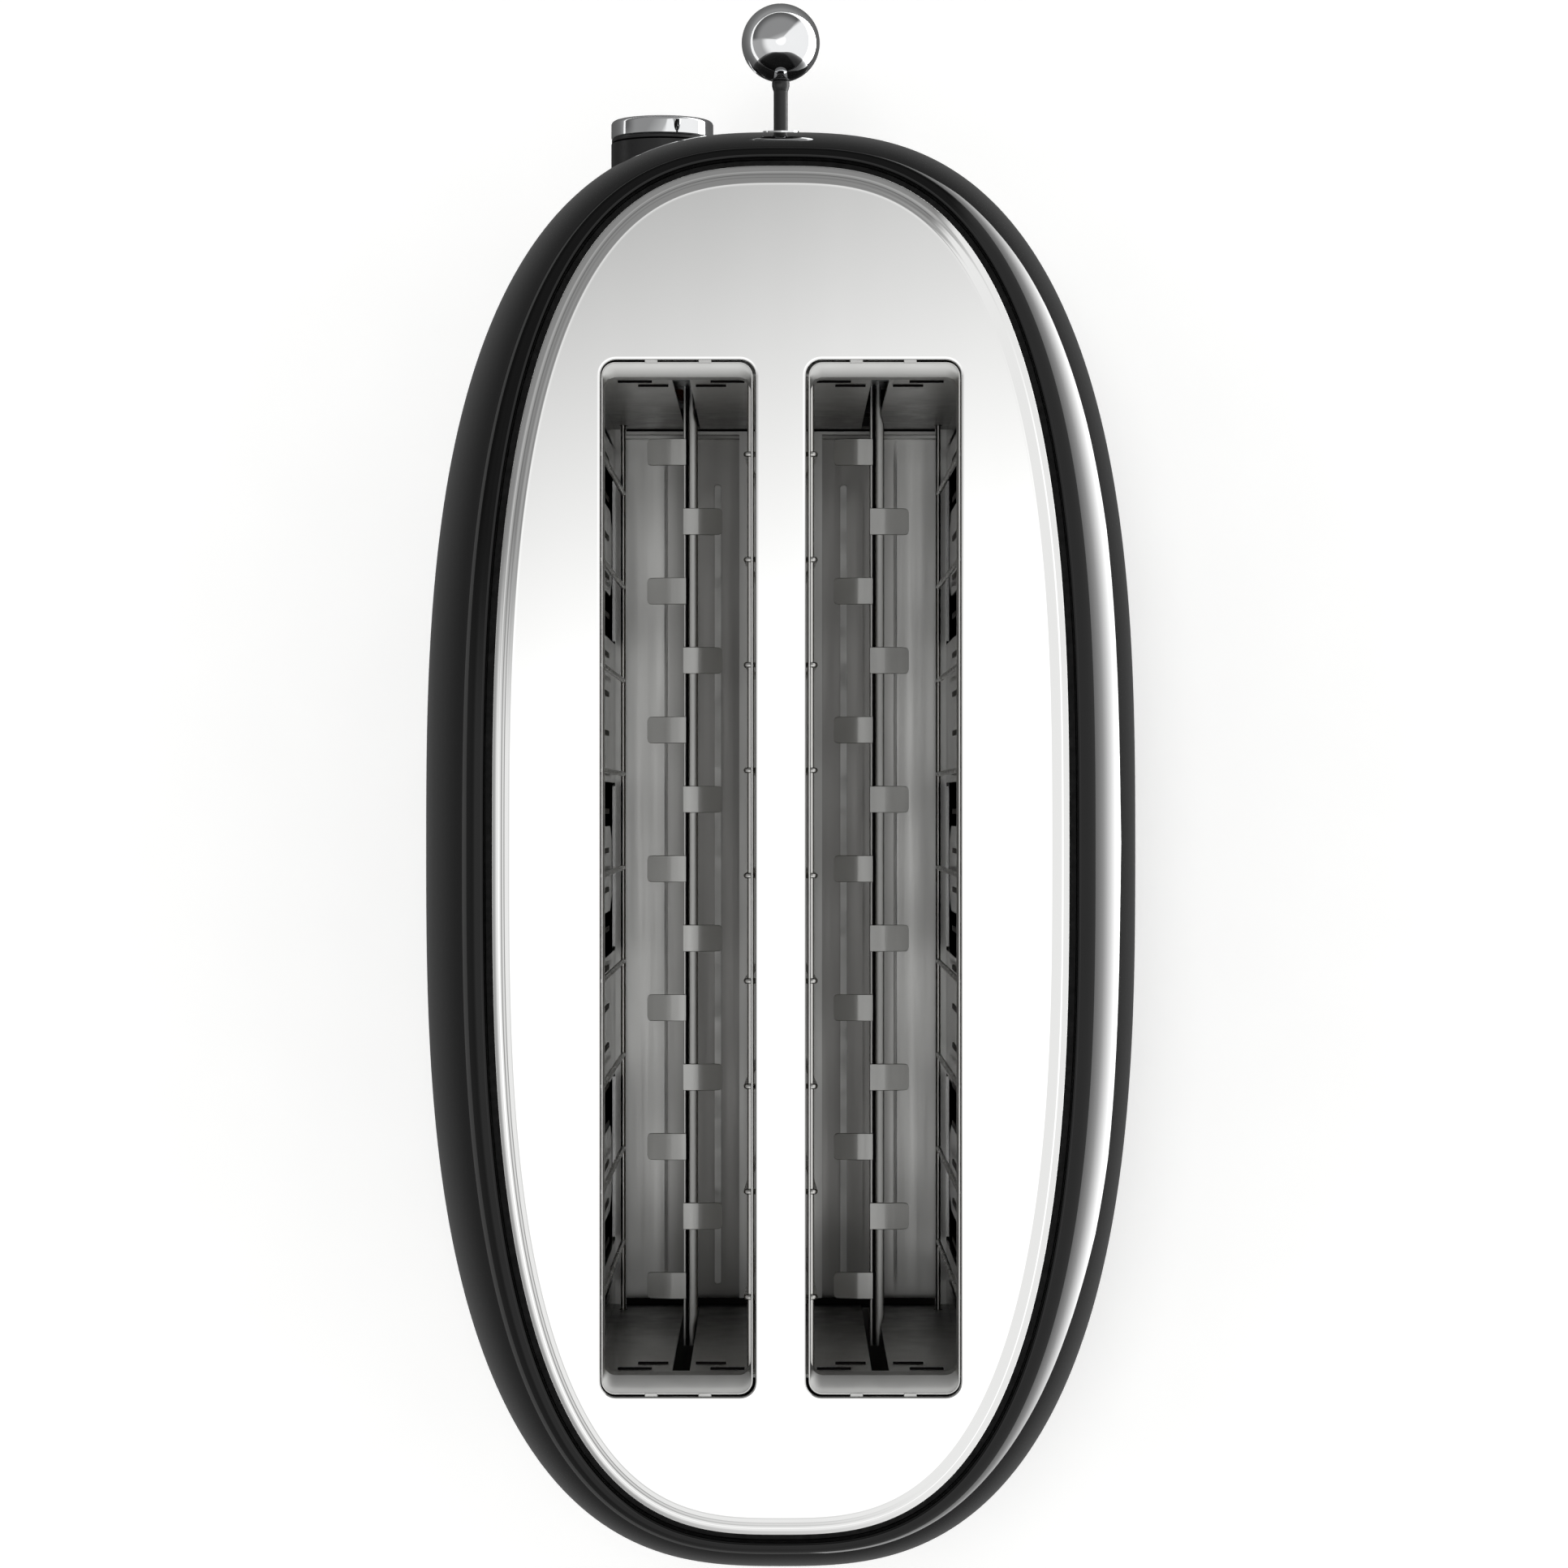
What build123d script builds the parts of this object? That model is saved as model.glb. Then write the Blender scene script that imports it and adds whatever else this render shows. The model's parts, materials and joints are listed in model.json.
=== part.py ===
from build123d import *
from math import cos, pi, radians, sin, sqrt
import os

os.makedirs("parts", exist_ok=True)

# A long two-slot toaster with an oval painted steel shell, a polished top plate and a lever at one end.
# Millimetres. The front, where the lever is, looks along -Y, and the slots run along Y.
# The origin is on the table, under the middle of the whole toaster from lever ball to rear.

# Outline of the shell and of the polished rim, seen from above
rim_half_width = 74.5
rim_half_length = 176.1
rim_exponent = 2.85
girth_half_width = 97.6
girth_half_length = 193.0
girth_exponent = 2.78
rim_gap = 1.8
outline_points = 32
section_shares = (0, 0.4, 0.75)
section_angles = (0, 15, 30, 45, 60, 72, 82, 90)

# Heights of the shell
shell_bottom = 17.5
girth_height = 100.0
crest_height = 206.0
bottom_tuck = 5.0
shell_wall = 1.5
lip_depth = 9.0
cut_margin = 1.0
front_joint_y = -110.0
rear_joint_y = 180.0

# Top plate, its rolled rim and the two bread slots
plate_thickness = 0.8
bead_radius = 1.5
bead_rise = 0.5
bead_angles = (0, 30, 60, 75)
skirt_clearance = 0.3
skirt_depth = 9.0
step_inset = 4.5
step_width = 0.7
step_rise = 0.35
slot_x = 26.35
slot_width = 39.8
slot_length = 265.8
slot_radius = 4.0
slot_shift = 7.2
flange_depth = 10.0
flange_taper = 0.2
seal_bottom = 197.4
seal_height = 3.0
seal_clearance = 0.1

# Chamber between the two end plates
chamber_length = 258.2
chamber_shift = 6.7
sheet = 0.8
chassis_half_width = 60.0
chassis_bottom = 24.5
chassis_clearance = 0.2
leg_width = 7.5
leg_foot_depth = 14.0
reflector_x = 57.0
reflector_top = 190.0

# Arm slots and louvre slits in the end plates
arm_slot_width = 4.6
arm_slot_bottom = 27.5
arm_slot_top = 188.0
slit_height = 1.2
upper_slit_drop = 21.0
upper_slit_length = 8.9
upper_slit_offset = 12.1
lower_slit_drop = 33.0
lower_slit_length = 8.0
lower_slit_offset = 7.6

# Bread racks
rack_x = 26.0
rack_top = 104.0
rack_depth = 8.0
rack_wall = 0.7
rack_groove = 0.7
rack_hem = 1.5
rack_groove_depth = 4.5
tab_count = 13
tab_pitch = 19.34
tab_length = 7.4
tab_reach = 10.3
tab_thickness = 0.8
tab_shift = 6.2
rack_front_reach = 4.8
rack_rear_reach = 2.4
carriage_travel = 66.0

# Guard frames that lean in on the bread
guard_wire_radius = 0.9
guard_rail_radius = 1.2
guard_wire_count = 9
guard_wire_pitch = 27.3
guard_pivot_height = 40.0
guard_top_height = 193.4
inner_guard_pivot_x = 6.3
inner_guard_top_x = 7.8
outer_guard_pivot_x = 46.0
outer_guard_top_x = 47.4
guard_end_reach = 2.0
guard_end_clearance = 1.0
running_clearance = 0.1

# Heater cards and their ribbon
card_thickness = 0.8
outer_card_x = 49.2
card_bottom = 25.8
card_top = 188.0
window_bottom = 44.0
window_height = 34.0
window_length = 40.0
window_pitch = 84.0
ribbon_width = 1.4
ribbon_thickness = 0.3
ribbon_pitch = 11.0
ribbon_count = 22
ribbon_bottom = 84.0

# Bottom frame under the heaters
frame_window_inner = 12.2
frame_window_outer = 46.6
frame_window_margin = 1.5

# Carriage outside the front end plate
carriage_thickness = 1.6
carriage_half_width = 33.0
carriage_bottom = 96.0
carriage_shoulder = 122.0
carriage_tower_half_width = 6.0
carriage_tower_top = 158.0
bush_block_width = 11.0
bush_block_depth = 10.0
bush_block_margin = 2.5
rod_x = 12.5
rod_radius = 2.5
rod_bracket_thickness = 3.0
rod_bracket_bottom = 20.0
rod_bracket_top = 188.0
lower_bracket_half_width = 19.0
upper_bracket_half_width = 32.0
rod_bracket_depth = 17.0
ear_x = 27.0
ear_width = 8.0
ear_thickness = 1.2
spring_radius = 3.0
spring_wire_radius = 0.5
spring_turns = 11

# Lever
lever_height = 150.0
stem_radius = 1.9
ferrule_radius = 2.35
ferrule_length = 2.9
ball_radius = 10.5
ball_centre_reach = 216.3
ball_flat = 0.4
trim_width = 9.8
trim_inner_width = 5.4
trim_proud = 1.2
trim_end_margin = 9.0
slot_end_margin = 4.5

# Latch magnet and switch
latch_x = 27.0
armature_size = 12.0
armature_thickness = 1.5
magnet_base_thickness = 1.5
magnet_yoke_thickness = 3.0
magnet_post_radius = 2.5
magnet_gap = 0.3
coil_radius = 5.2
coil_drop = 1.2
switch_width = 12.0
switch_depth = 11.0
switch_height = 15.0
switch_plunger_radius = 1.5
switch_plunger_gap = 0.5

# Browning knob
knob_x = 33.2
knob_height = 95.0
knob_radius = 14.3
knob_collar_front = 196.6
knob_gap = 0.4
knob_barrel_length = 1.6
knob_cap_length = 4.5
knob_cap_round = 1.2
knob_mark_width = 1.2
knob_mark_depth = 0.4
knob_mark_length = 8.6
spindle_radius = 3.0
spindle_hole_radius = 4.6
spindle_rear = 170.0

# Circuit boards behind the front of the shell
board_front = 166.6
board_thickness = 1.6
board_inner_x = 9.0
board_outer_x = 57.0
knob_board_bottom = 58.0
knob_board_top = 150.0
button_board_bottom = 34.0
button_board_top = 150.0
post_x = 52.0
post_radius = 3.0
post_margin = 8.0
potentiometer_radius = 8.5
potentiometer_length = 9.0
relay_size = (18.0, 14.0, 22.0)
relay_height = 134.0
relay_x = 26.0
capacitor_radius = 5.5
capacitor_length = 16.0
capacitor_height = 72.0
capacitor_x = 24.0

# Push buttons
button_x = -33.2
button_names = ("bagel_button", "defrost_button", "reheat_button", "cancel_button")
button_bottom_height = 44.0
button_pitch = 14.0
button_radius = 4.7
button_clearance = 0.2
bezel_clearance = 0.2
bezel_wall = 1.1
bezel_proud = 0.5
bezel_rear = 185.6
button_proud = 0.9
button_rear = 186.4
button_stem_radius = 1.5
button_travel = 1.5
button_stem_gap = 0.1
tact_switch_size = 6.0
tact_switch_length = 4.0

# Base
foot_x = 56.25
foot_inset = 7.0
foot_radius = 9.0
foot_bottom_radius = 8.0
foot_height = 9.0
pan_floor = 2.0
pan_wall = 2.0
base_setback = 3.5
base_ring_wall = 1.2
base_ring_margin = 0.5
pan_flange = 2.0
pan_clearance = 0.4
vent_count = 11
vent_pitch = 22.0
vent_size = (24.0, 3.0)
vent_x = 25.0
foot_screw_radius = 2.0
foot_screw_head_radius = 3.6
foot_screw_head_height = 2.2
foot_screw_slot_width = 0.6
foot_recess_radius = 3.8
foot_recess_depth = 3.4
foot_nut_radius = 3.9
foot_nut_height = 2.8
screw_clearance = 0.2
nut_clearance = 0.05

# Crumb tray and its runners
tray_half_width = 50.0
tray_bottom = 13.5
tray_height = 8.5
tray_sheet = 0.8
tray_front_clearance = 1.4
tray_rib_x = 21.5
tray_rib_width = 6.5
tray_rib_height = 0.9
tray_rib_length = 226.0
tray_crease_x = 34.4
tray_crease_width = 1.4
tray_crease_height = 0.5
mouth_clearance = 0.8
handle_thickness = 3.0
handle_grip_half_width = 24.0
handle_grip_reach = 3.0
handle_grip_height = 3.0
handle_grip_lift = 1.5
runner_x = 44.0
runner_width = 6.0
runner_gap = 0.1
runner_length = 280.0

# Supply at the front of the base
cord_y = 158.0
cord_bush_bore_radius = 3.7
cord_bush_radius = 6.0
cord_bush_flange_radius = 8.5
cord_bush_flange = 2.5
cord_bush_height = 6.0
terminal_x = 26.0
terminal_size = (26.0, 13.0, 10.0)
terminal_hole_radius = 2.0
terminal_hole_pitch = 8.0

# Places worked out from the sizes above
front_reach = ball_centre_reach + ball_radius
body_y = (front_reach - girth_half_length) / 2
slot_y = body_y + slot_shift
chamber_y = body_y + chamber_shift
front_wall_y = chamber_y - chamber_length / 2
rear_wall_y = chamber_y + chamber_length / 2
front_plate_face = front_wall_y - sheet
rear_plate_face = rear_wall_y + sheet
flange_bottom = crest_height - flange_depth
chassis_top = flange_bottom - chassis_clearance
pan_bottom = foot_height
pan_top = pan_bottom + pan_floor
base_inset = bottom_tuck + base_setback
pan_inset = base_inset + base_ring_wall
carriage_back = front_plate_face - rack_front_reach
carriage_front = carriage_back - carriage_thickness
rod_y = carriage_front - bush_block_depth / 2
board_y = body_y - board_front
knob_face_y = body_y - knob_collar_front - knob_gap
bezel_radius = button_radius + button_clearance + bezel_wall
button_heights = [button_bottom_height + button_pitch * step for step in range(len(button_names))]
foot_front_y = front_plate_face - foot_inset
foot_rear_y = rear_plate_face + foot_inset
foot_places = [(x, y) for x in (-foot_x, foot_x) for y in (foot_front_y, foot_rear_y)]
tray_top = tray_bottom + tray_height
front_plane = Plane(origin=(0, body_y, 0), x_dir=(1, 0, 0), z_dir=(0, -1, 0))


def oval_points(half_width, half_length, exponent, inset=0.0):
    """Points of an oval |x/a|^n + |y/b|^n = 1, each moved inwards along its normal by the inset."""
    points = []
    for step in range(outline_points):
        angle = 2 * pi * step / outline_points
        across = cos(angle)
        along = sin(angle)
        x = half_width * abs(across) ** (2 / exponent) * (1 if across >= 0 else -1)
        y = half_length * abs(along) ** (2 / exponent) * (1 if along >= 0 else -1)
        slope_x = abs(x / half_width) ** (exponent - 1) / half_width * (1 if across >= 0 else -1)
        slope_y = abs(y / half_length) ** (exponent - 1) / half_length * (1 if along >= 0 else -1)
        steepness = sqrt(slope_x**2 + slope_y**2)
        points.append((x - inset * slope_x / steepness, body_y + y - inset * slope_y / steepness))
    return points


def rim_points(inset):
    """Outline of the polished rim, moved inwards by the inset."""
    return oval_points(rim_half_width, rim_half_length, rim_exponent, inset)


def girth_points(inset):
    """Outline of the shell at its widest, moved inwards by the inset."""
    return oval_points(girth_half_width, girth_half_length, girth_exponent, inset)


def shell_section(height, inset):
    """Outline of the shell at a height: a quarter ellipse from girth to rim, and a slight tuck below."""
    if height <= girth_height:
        share = (girth_height - height) / (girth_height - shell_bottom)
        return girth_points(inset + bottom_tuck * share**2)
    rise = (height - girth_height) / (crest_height - inset - girth_height)
    spread = sqrt(max(0.0, 1 - rise**2))
    opening = rim_points(-rim_gap - shell_wall / 2)
    girth = girth_points(inset)
    return [
        (top[0] + (wide[0] - top[0]) * spread, top[1] + (wide[1] - top[1]) * spread)
        for top, wide in zip(opening, girth)
    ]


def shell_form(inset, bottom=shell_bottom):
    """Solid body of the shell, moved inwards by the inset, from its bottom edge to its crest."""
    lower = [bottom + (girth_height - bottom) * share for share in section_shares]
    upper = [
        girth_height + (crest_height - inset - girth_height) * sin(radians(angle))
        for angle in section_angles
    ]
    with BuildPart() as form:
        for height in lower + upper:
            with BuildSketch(Plane.XY.offset(height)):
                with BuildLine():
                    Spline(*shell_section(height, inset), periodic=True)
                make_face()
        loft(ruled=True)
    return form.part


def oval_prism(points, bottom, top):
    """Straight solid on an oval outline."""
    with BuildPart() as prism:
        with BuildSketch(Plane.XY.offset(bottom)):
            with BuildLine():
                Spline(*points, periodic=True)
            make_face()
        extrude(amount=top - bottom)
    return prism.part


def finish_part(part, name):
    """Label a finished piece and write its file."""
    part.label = name
    export_step(part, f"parts/{name}.step")


def mouth_form():
    """Space at the rear of the base that the crumb tray slides through."""
    with BuildPart() as mouth:
        with Locations((0, body_y + girth_half_length, tray_bottom + tray_height / 2)):
            Box(
                2 * (tray_half_width + mouth_clearance),
                girth_half_length,
                tray_height + 2 * mouth_clearance,
            )
    return mouth.part


outer_form = shell_form(0.0)
inner_form = shell_form(shell_wall, shell_bottom - cut_margin)
mouth = mouth_form()


def body_shell_form():
    """Thin-walled shell with its top opening, tray mouth, lever slot and holes for knob and buttons."""
    lip = rim_band(-rim_gap - shell_wall, -rim_gap, crest_height - lip_depth, crest_height - shell_wall / 2)
    opening = oval_prism(rim_points(-rim_gap), crest_height - 2 * lip_depth, crest_height + shell_wall)
    lever_low = lever_height - carriage_travel - slot_end_margin
    lever_high = lever_height + slot_end_margin
    with BuildPart() as shell:
        add(outer_form)
        add(inner_form, mode=Mode.SUBTRACT)
        add(opening, mode=Mode.SUBTRACT)
        add(lip)
        add(mouth, mode=Mode.SUBTRACT)
        with BuildSketch(front_plane):
            with Locations((0, (lever_low + lever_high) / 2)):
                SlotOverall(lever_high - lever_low, trim_inner_width, rotation=90)
            with Locations((knob_x, knob_height)):
                Circle(spindle_hole_radius)
            with Locations(*[(button_x, height) for height in button_heights]):
                Circle(bezel_radius)
        extrude(amount=girth_half_length + shell_wall, mode=Mode.SUBTRACT)
    return shell.part


def make_shell_sections():
    """The shell in four sections that meet face to face: its two ends and its two long sides."""
    shell = body_shell_form()
    front_cut = Plane(origin=(0, front_joint_y, 0), x_dir=(1, 0, 0), z_dir=(0, 1, 0))
    rear_cut = Plane(origin=(0, rear_joint_y, 0), x_dir=(1, 0, 0), z_dir=(0, 1, 0))
    with BuildPart() as front_section:
        add(shell)
        split(bisect_by=front_cut, keep=Keep.BOTTOM)
    with BuildPart() as rear_section:
        add(shell)
        split(bisect_by=rear_cut, keep=Keep.TOP)
    with BuildPart() as left_section:
        add(shell)
        split(bisect_by=front_cut, keep=Keep.TOP)
        split(bisect_by=rear_cut, keep=Keep.BOTTOM)
        split(bisect_by=Plane.YZ, keep=Keep.BOTTOM)
    with BuildPart() as right_section:
        add(shell)
        split(bisect_by=front_cut, keep=Keep.TOP)
        split(bisect_by=rear_cut, keep=Keep.BOTTOM)
        split(bisect_by=Plane.YZ, keep=Keep.TOP)
    finish_part(front_section.part, "front_shell")
    finish_part(rear_section.part, "rear_shell")
    finish_part(left_section.part, "left_shell")
    finish_part(right_section.part, "right_shell")


def make_lever_slot_trim():
    proud_form = shell_form(-trim_proud)
    lever_low = lever_height - carriage_travel
    middle = (lever_low + lever_height) / 2
    outer_length = carriage_travel + 2 * trim_end_margin
    inner_length = carriage_travel + 2 * slot_end_margin
    with BuildPart() as trim:
        with BuildSketch(front_plane):
            with Locations((0, middle)):
                SlotOverall(outer_length, trim_width, rotation=90)
                SlotOverall(inner_length, trim_inner_width, rotation=90, mode=Mode.SUBTRACT)
        extrude(amount=front_reach)
        add(proud_form, mode=Mode.INTERSECT)
        add(outer_form, mode=Mode.SUBTRACT)
    finish_part(trim.part, "lever_slot_trim")


def slot_funnel(x, growth):
    """Tapered space inside a slot's flange, grown outwards by the wall's thickness."""
    with BuildPart() as funnel:
        with BuildSketch(Plane.XY.offset(flange_bottom)):
            with Locations((x, chamber_y)):
                RectangleRounded(
                    slot_width - 2 * flange_taper + 2 * growth,
                    chamber_length + 2 * growth,
                    slot_radius + growth,
                )
        with BuildSketch(Plane.XY.offset(crest_height)):
            with Locations((x, slot_y)):
                RectangleRounded(slot_width + 2 * growth, slot_length + 2 * growth, slot_radius + growth)
        loft(ruled=True)
    return funnel.part


def rim_band(outer_inset, inner_inset, bottom, top):
    """Straight band that follows the rim between two insets."""
    outside = oval_prism(rim_points(outer_inset), bottom, top)
    inside = oval_prism(rim_points(inner_inset), bottom, top)
    with BuildPart() as band:
        add(outside)
        add(inside, mode=Mode.SUBTRACT)
    return band.part


def rim_loft(levels):
    """Solid that follows the rim through (height, inset) levels."""
    with BuildPart() as form:
        for height, inset in levels:
            with BuildSketch(Plane.XY.offset(height)):
                with BuildLine():
                    Spline(*rim_points(inset), periodic=True)
                make_face()
        loft(ruled=True)
    return form.part


def bead_levels(side):
    """Heights and insets round one side of the bead, -1 for its outside and 1 for its inside."""
    return [
        (
            crest_height + bead_rise + bead_radius * sin(radians(angle)),
            bead_radius * (1 + side * cos(radians(angle))),
        )
        for angle in bead_angles
    ]


def make_top_plate():
    plate_bottom = crest_height - plate_thickness
    inside_levels = [(crest_height, 2 * bead_radius)] + bead_levels(1)[1:]
    last_height, last_inset = inside_levels[-1]
    disc = rim_loft([(plate_bottom, skirt_clearance / 2)] + bead_levels(-1))
    dish = rim_loft(inside_levels + [(last_height + cut_margin, last_inset)])
    skirt = rim_band(
        skirt_clearance,
        skirt_clearance + plate_thickness,
        crest_height - skirt_depth,
        plate_bottom + plate_thickness / 2,
    )
    step = rim_band(
        step_inset,
        step_inset + step_width,
        plate_bottom + plate_thickness / 2,
        crest_height + step_rise,
    )
    walls = [slot_funnel(x, plate_thickness) for x in (-slot_x, slot_x)]
    spaces = [slot_funnel(x, 0.0) for x in (-slot_x, slot_x)]
    with BuildPart() as top:
        add(disc)
        add(dish, mode=Mode.SUBTRACT)
        add(walls)
        add(spaces, mode=Mode.SUBTRACT)
        add(step)
        add(skirt)
    finish_part(top.part, "top_plate")


def make_rim_seal():
    outer_inset = seal_clearance - rim_gap
    inner_inset = skirt_clearance - seal_clearance
    finish_part(rim_band(outer_inset, inner_inset, seal_bottom, seal_bottom + seal_height), "rim_seal")


def make_base_ring():
    top = shell_bottom
    bottom = pan_bottom + base_ring_margin
    outside = oval_prism(girth_points(base_inset), bottom, top)
    inside = oval_prism(girth_points(pan_inset), bottom, top)
    with BuildPart() as ring:
        add(outside)
        add(inside, mode=Mode.SUBTRACT)
        add(mouth, mode=Mode.SUBTRACT)
    finish_part(ring.part, "base_ring")


def make_base_pan():
    outside = oval_prism(girth_points(pan_inset), pan_bottom, shell_bottom + pan_flange)
    hollow = oval_prism(girth_points(pan_inset + pan_wall), pan_top, shell_bottom + pan_flange)
    flange_inset = bottom_tuck + shell_wall + pan_clearance
    flange = oval_prism(girth_points(flange_inset), shell_bottom, shell_bottom + pan_flange)
    with BuildPart() as pan:
        add(outside)
        add(flange)
        add(hollow, mode=Mode.SUBTRACT)
        add(mouth, mode=Mode.SUBTRACT)
        with BuildSketch(Plane.XY.offset(pan_bottom)):
            with Locations(*foot_places):
                Circle(foot_screw_radius + screw_clearance)
            with Locations((0, body_y - cord_y)):
                Circle(cord_bush_radius)
            with Locations((-vent_x, chamber_y), (vent_x, chamber_y)):
                with GridLocations(0, vent_pitch, 1, vent_count):
                    Rectangle(*vent_size)
        extrude(amount=pan_floor, mode=Mode.SUBTRACT)
    finish_part(pan.part, "base_pan")


def make_rubber_feet():
    with BuildPart() as feet:
        with Locations(*[(x, y, 0) for x, y in foot_places]):
            Cone(
                foot_bottom_radius,
                foot_radius,
                foot_height,
                align=(Align.CENTER, Align.CENTER, Align.MIN),
            )
            Cylinder(
                foot_recess_radius,
                foot_recess_depth,
                align=(Align.CENTER, Align.CENTER, Align.MIN),
                mode=Mode.SUBTRACT,
            )
            Cylinder(
                foot_screw_radius + screw_clearance,
                foot_height,
                align=(Align.CENTER, Align.CENTER, Align.MIN),
                mode=Mode.SUBTRACT,
            )
    finish_part(feet.part, "rubber_feet")


def make_foot_screws():
    head_bottom = foot_recess_depth - foot_screw_head_height
    shank_top = pan_top + sheet + foot_nut_height
    with BuildPart() as screws:
        for x, y in foot_places:
            with BuildSketch(Plane.XY.offset(head_bottom)):
                with Locations((x, y)):
                    Circle(foot_screw_head_radius)
            extrude(amount=foot_screw_head_height)
            with BuildSketch(Plane.XY.offset(head_bottom)):
                with Locations((x, y)):
                    Circle(foot_screw_radius)
            extrude(amount=shank_top - head_bottom)
            with BuildSketch(Plane.XY.offset(head_bottom)):
                with Locations((x, y)):
                    Rectangle(foot_screw_radius * 2, foot_screw_slot_width)
                    Rectangle(foot_screw_slot_width, foot_screw_radius * 2)
            extrude(amount=foot_screw_head_height / 2, mode=Mode.SUBTRACT)
    finish_part(screws.part, "foot_screws")


def make_foot_nuts():
    with BuildPart() as nuts:
        with BuildSketch(Plane.XY.offset(pan_top + sheet)):
            with Locations(*foot_places):
                RegularPolygon(foot_nut_radius, 6)
                Circle(foot_screw_radius + nut_clearance, mode=Mode.SUBTRACT)
        extrude(amount=foot_nut_height)
    finish_part(nuts.part, "foot_nuts")


def make_chassis_plate(name, inner_y, outward):
    """End plate of the chamber, with legs that turn out into feet on the base pan."""
    plane = Plane(origin=(0, inner_y, 0), x_dir=(1, 0, 0), z_dir=(0, -1, 0))
    leg_x = chassis_half_width - leg_width / 2
    leg_middle = (pan_top + chassis_bottom) / 2
    tab_y = inner_y + outward * (sheet + leg_foot_depth) / 2
    with BuildPart() as plate:
        with BuildSketch(plane):
            with Locations((0, (chassis_bottom + chassis_top) / 2)):
                Rectangle(2 * chassis_half_width, chassis_top - chassis_bottom)
            with Locations((-leg_x, leg_middle), (leg_x, leg_middle)):
                Rectangle(leg_width, chassis_bottom - pan_top)
            with Locations((-rack_x, (arm_slot_bottom + arm_slot_top) / 2)):
                Rectangle(arm_slot_width, arm_slot_top - arm_slot_bottom, mode=Mode.SUBTRACT)
            with Locations((rack_x, (arm_slot_bottom + arm_slot_top) / 2)):
                Rectangle(arm_slot_width, arm_slot_top - arm_slot_bottom, mode=Mode.SUBTRACT)
            for centre in (-rack_x, rack_x):
                for side in (-1, 1):
                    with Locations((centre + side * upper_slit_offset, crest_height - upper_slit_drop)):
                        Rectangle(upper_slit_length, slit_height, mode=Mode.SUBTRACT)
                    with Locations((centre + side * lower_slit_offset, crest_height - lower_slit_drop)):
                        Rectangle(lower_slit_length, slit_height, mode=Mode.SUBTRACT)
            for pivot_x in (inner_guard_pivot_x, outer_guard_pivot_x):
                with Locations((-pivot_x, guard_pivot_height), (pivot_x, guard_pivot_height)):
                    Circle(guard_rail_radius + running_clearance, mode=Mode.SUBTRACT)
        extrude(amount=-outward * sheet)
        with BuildSketch(Plane.XY.offset(pan_top)):
            with Locations((-leg_x, tab_y), (leg_x, tab_y)):
                Rectangle(leg_width, sheet + leg_foot_depth)
        extrude(amount=sheet)
        with BuildSketch(Plane.XY.offset(pan_top)):
            with Locations((-foot_x, inner_y + outward * (sheet + foot_inset))):
                Circle(foot_screw_radius + screw_clearance)
            with Locations((foot_x, inner_y + outward * (sheet + foot_inset))):
                Circle(foot_screw_radius + screw_clearance)
        extrude(amount=sheet, mode=Mode.SUBTRACT)
    finish_part(plate.part, name)


def make_reflector(name, side):
    with BuildPart() as reflector:
        with BuildSketch(Plane.XY.offset(chassis_bottom + sheet)):
            with Locations((side * (reflector_x + sheet / 2), chamber_y)):
                Rectangle(sheet, chamber_length)
        extrude(amount=reflector_top - chassis_bottom - sheet)
    finish_part(reflector.part, name)


def make_bottom_frame():
    window_width = frame_window_outer - frame_window_inner
    window_x = (frame_window_outer + frame_window_inner) / 2
    with BuildPart() as frame:
        with BuildSketch(Plane.XY.offset(card_bottom - sheet)):
            with Locations((0, chamber_y)):
                Rectangle(2 * reflector_x, chamber_length)
            with Locations((-window_x, chamber_y), (window_x, chamber_y)):
                Rectangle(window_width, chamber_length - 2 * frame_window_margin, mode=Mode.SUBTRACT)
        extrude(amount=sheet)
    finish_part(frame.part, "bottom_frame")


def make_heater_card(name, x, windows):
    height = card_top - card_bottom
    plane = Plane(origin=(x - card_thickness / 2, chamber_y, 0), x_dir=(0, 1, 0), z_dir=(1, 0, 0))
    with BuildPart() as card:
        with BuildSketch(plane):
            with Locations((0, card_bottom + height / 2)):
                Rectangle(chamber_length, height)
            if windows:
                with Locations((0, window_bottom + window_height / 2)):
                    with GridLocations(window_pitch, 0, 3, 1):
                        RectangleRounded(window_length, window_height, slot_radius, mode=Mode.SUBTRACT)
        extrude(amount=card_thickness)
    finish_part(card.part, name)


def make_heater_ribbons():
    """Flat ribbon wound round each card, drawn as closed turns that lie on its faces."""
    ribbon_top = card_top + ribbon_thickness
    height = ribbon_top - ribbon_bottom
    middle = (ribbon_top + ribbon_bottom) / 2
    faces = (-outer_card_x, 0.0, outer_card_x)
    with BuildPart() as ribbons:
        for x in faces:
            for side in (-1, 1):
                face_x = x + side * (card_thickness + ribbon_thickness) / 2
                with Locations((face_x, chamber_y, middle)):
                    with GridLocations(0, ribbon_pitch, 1, ribbon_count):
                        Box(ribbon_thickness, ribbon_width, height)
            with Locations((x, chamber_y, ribbon_top - ribbon_thickness / 2)):
                with GridLocations(0, ribbon_pitch, 1, ribbon_count):
                    Box(card_thickness + ribbon_thickness, ribbon_width, ribbon_thickness)
    finish_part(ribbons.part, "heater_ribbons")


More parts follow.
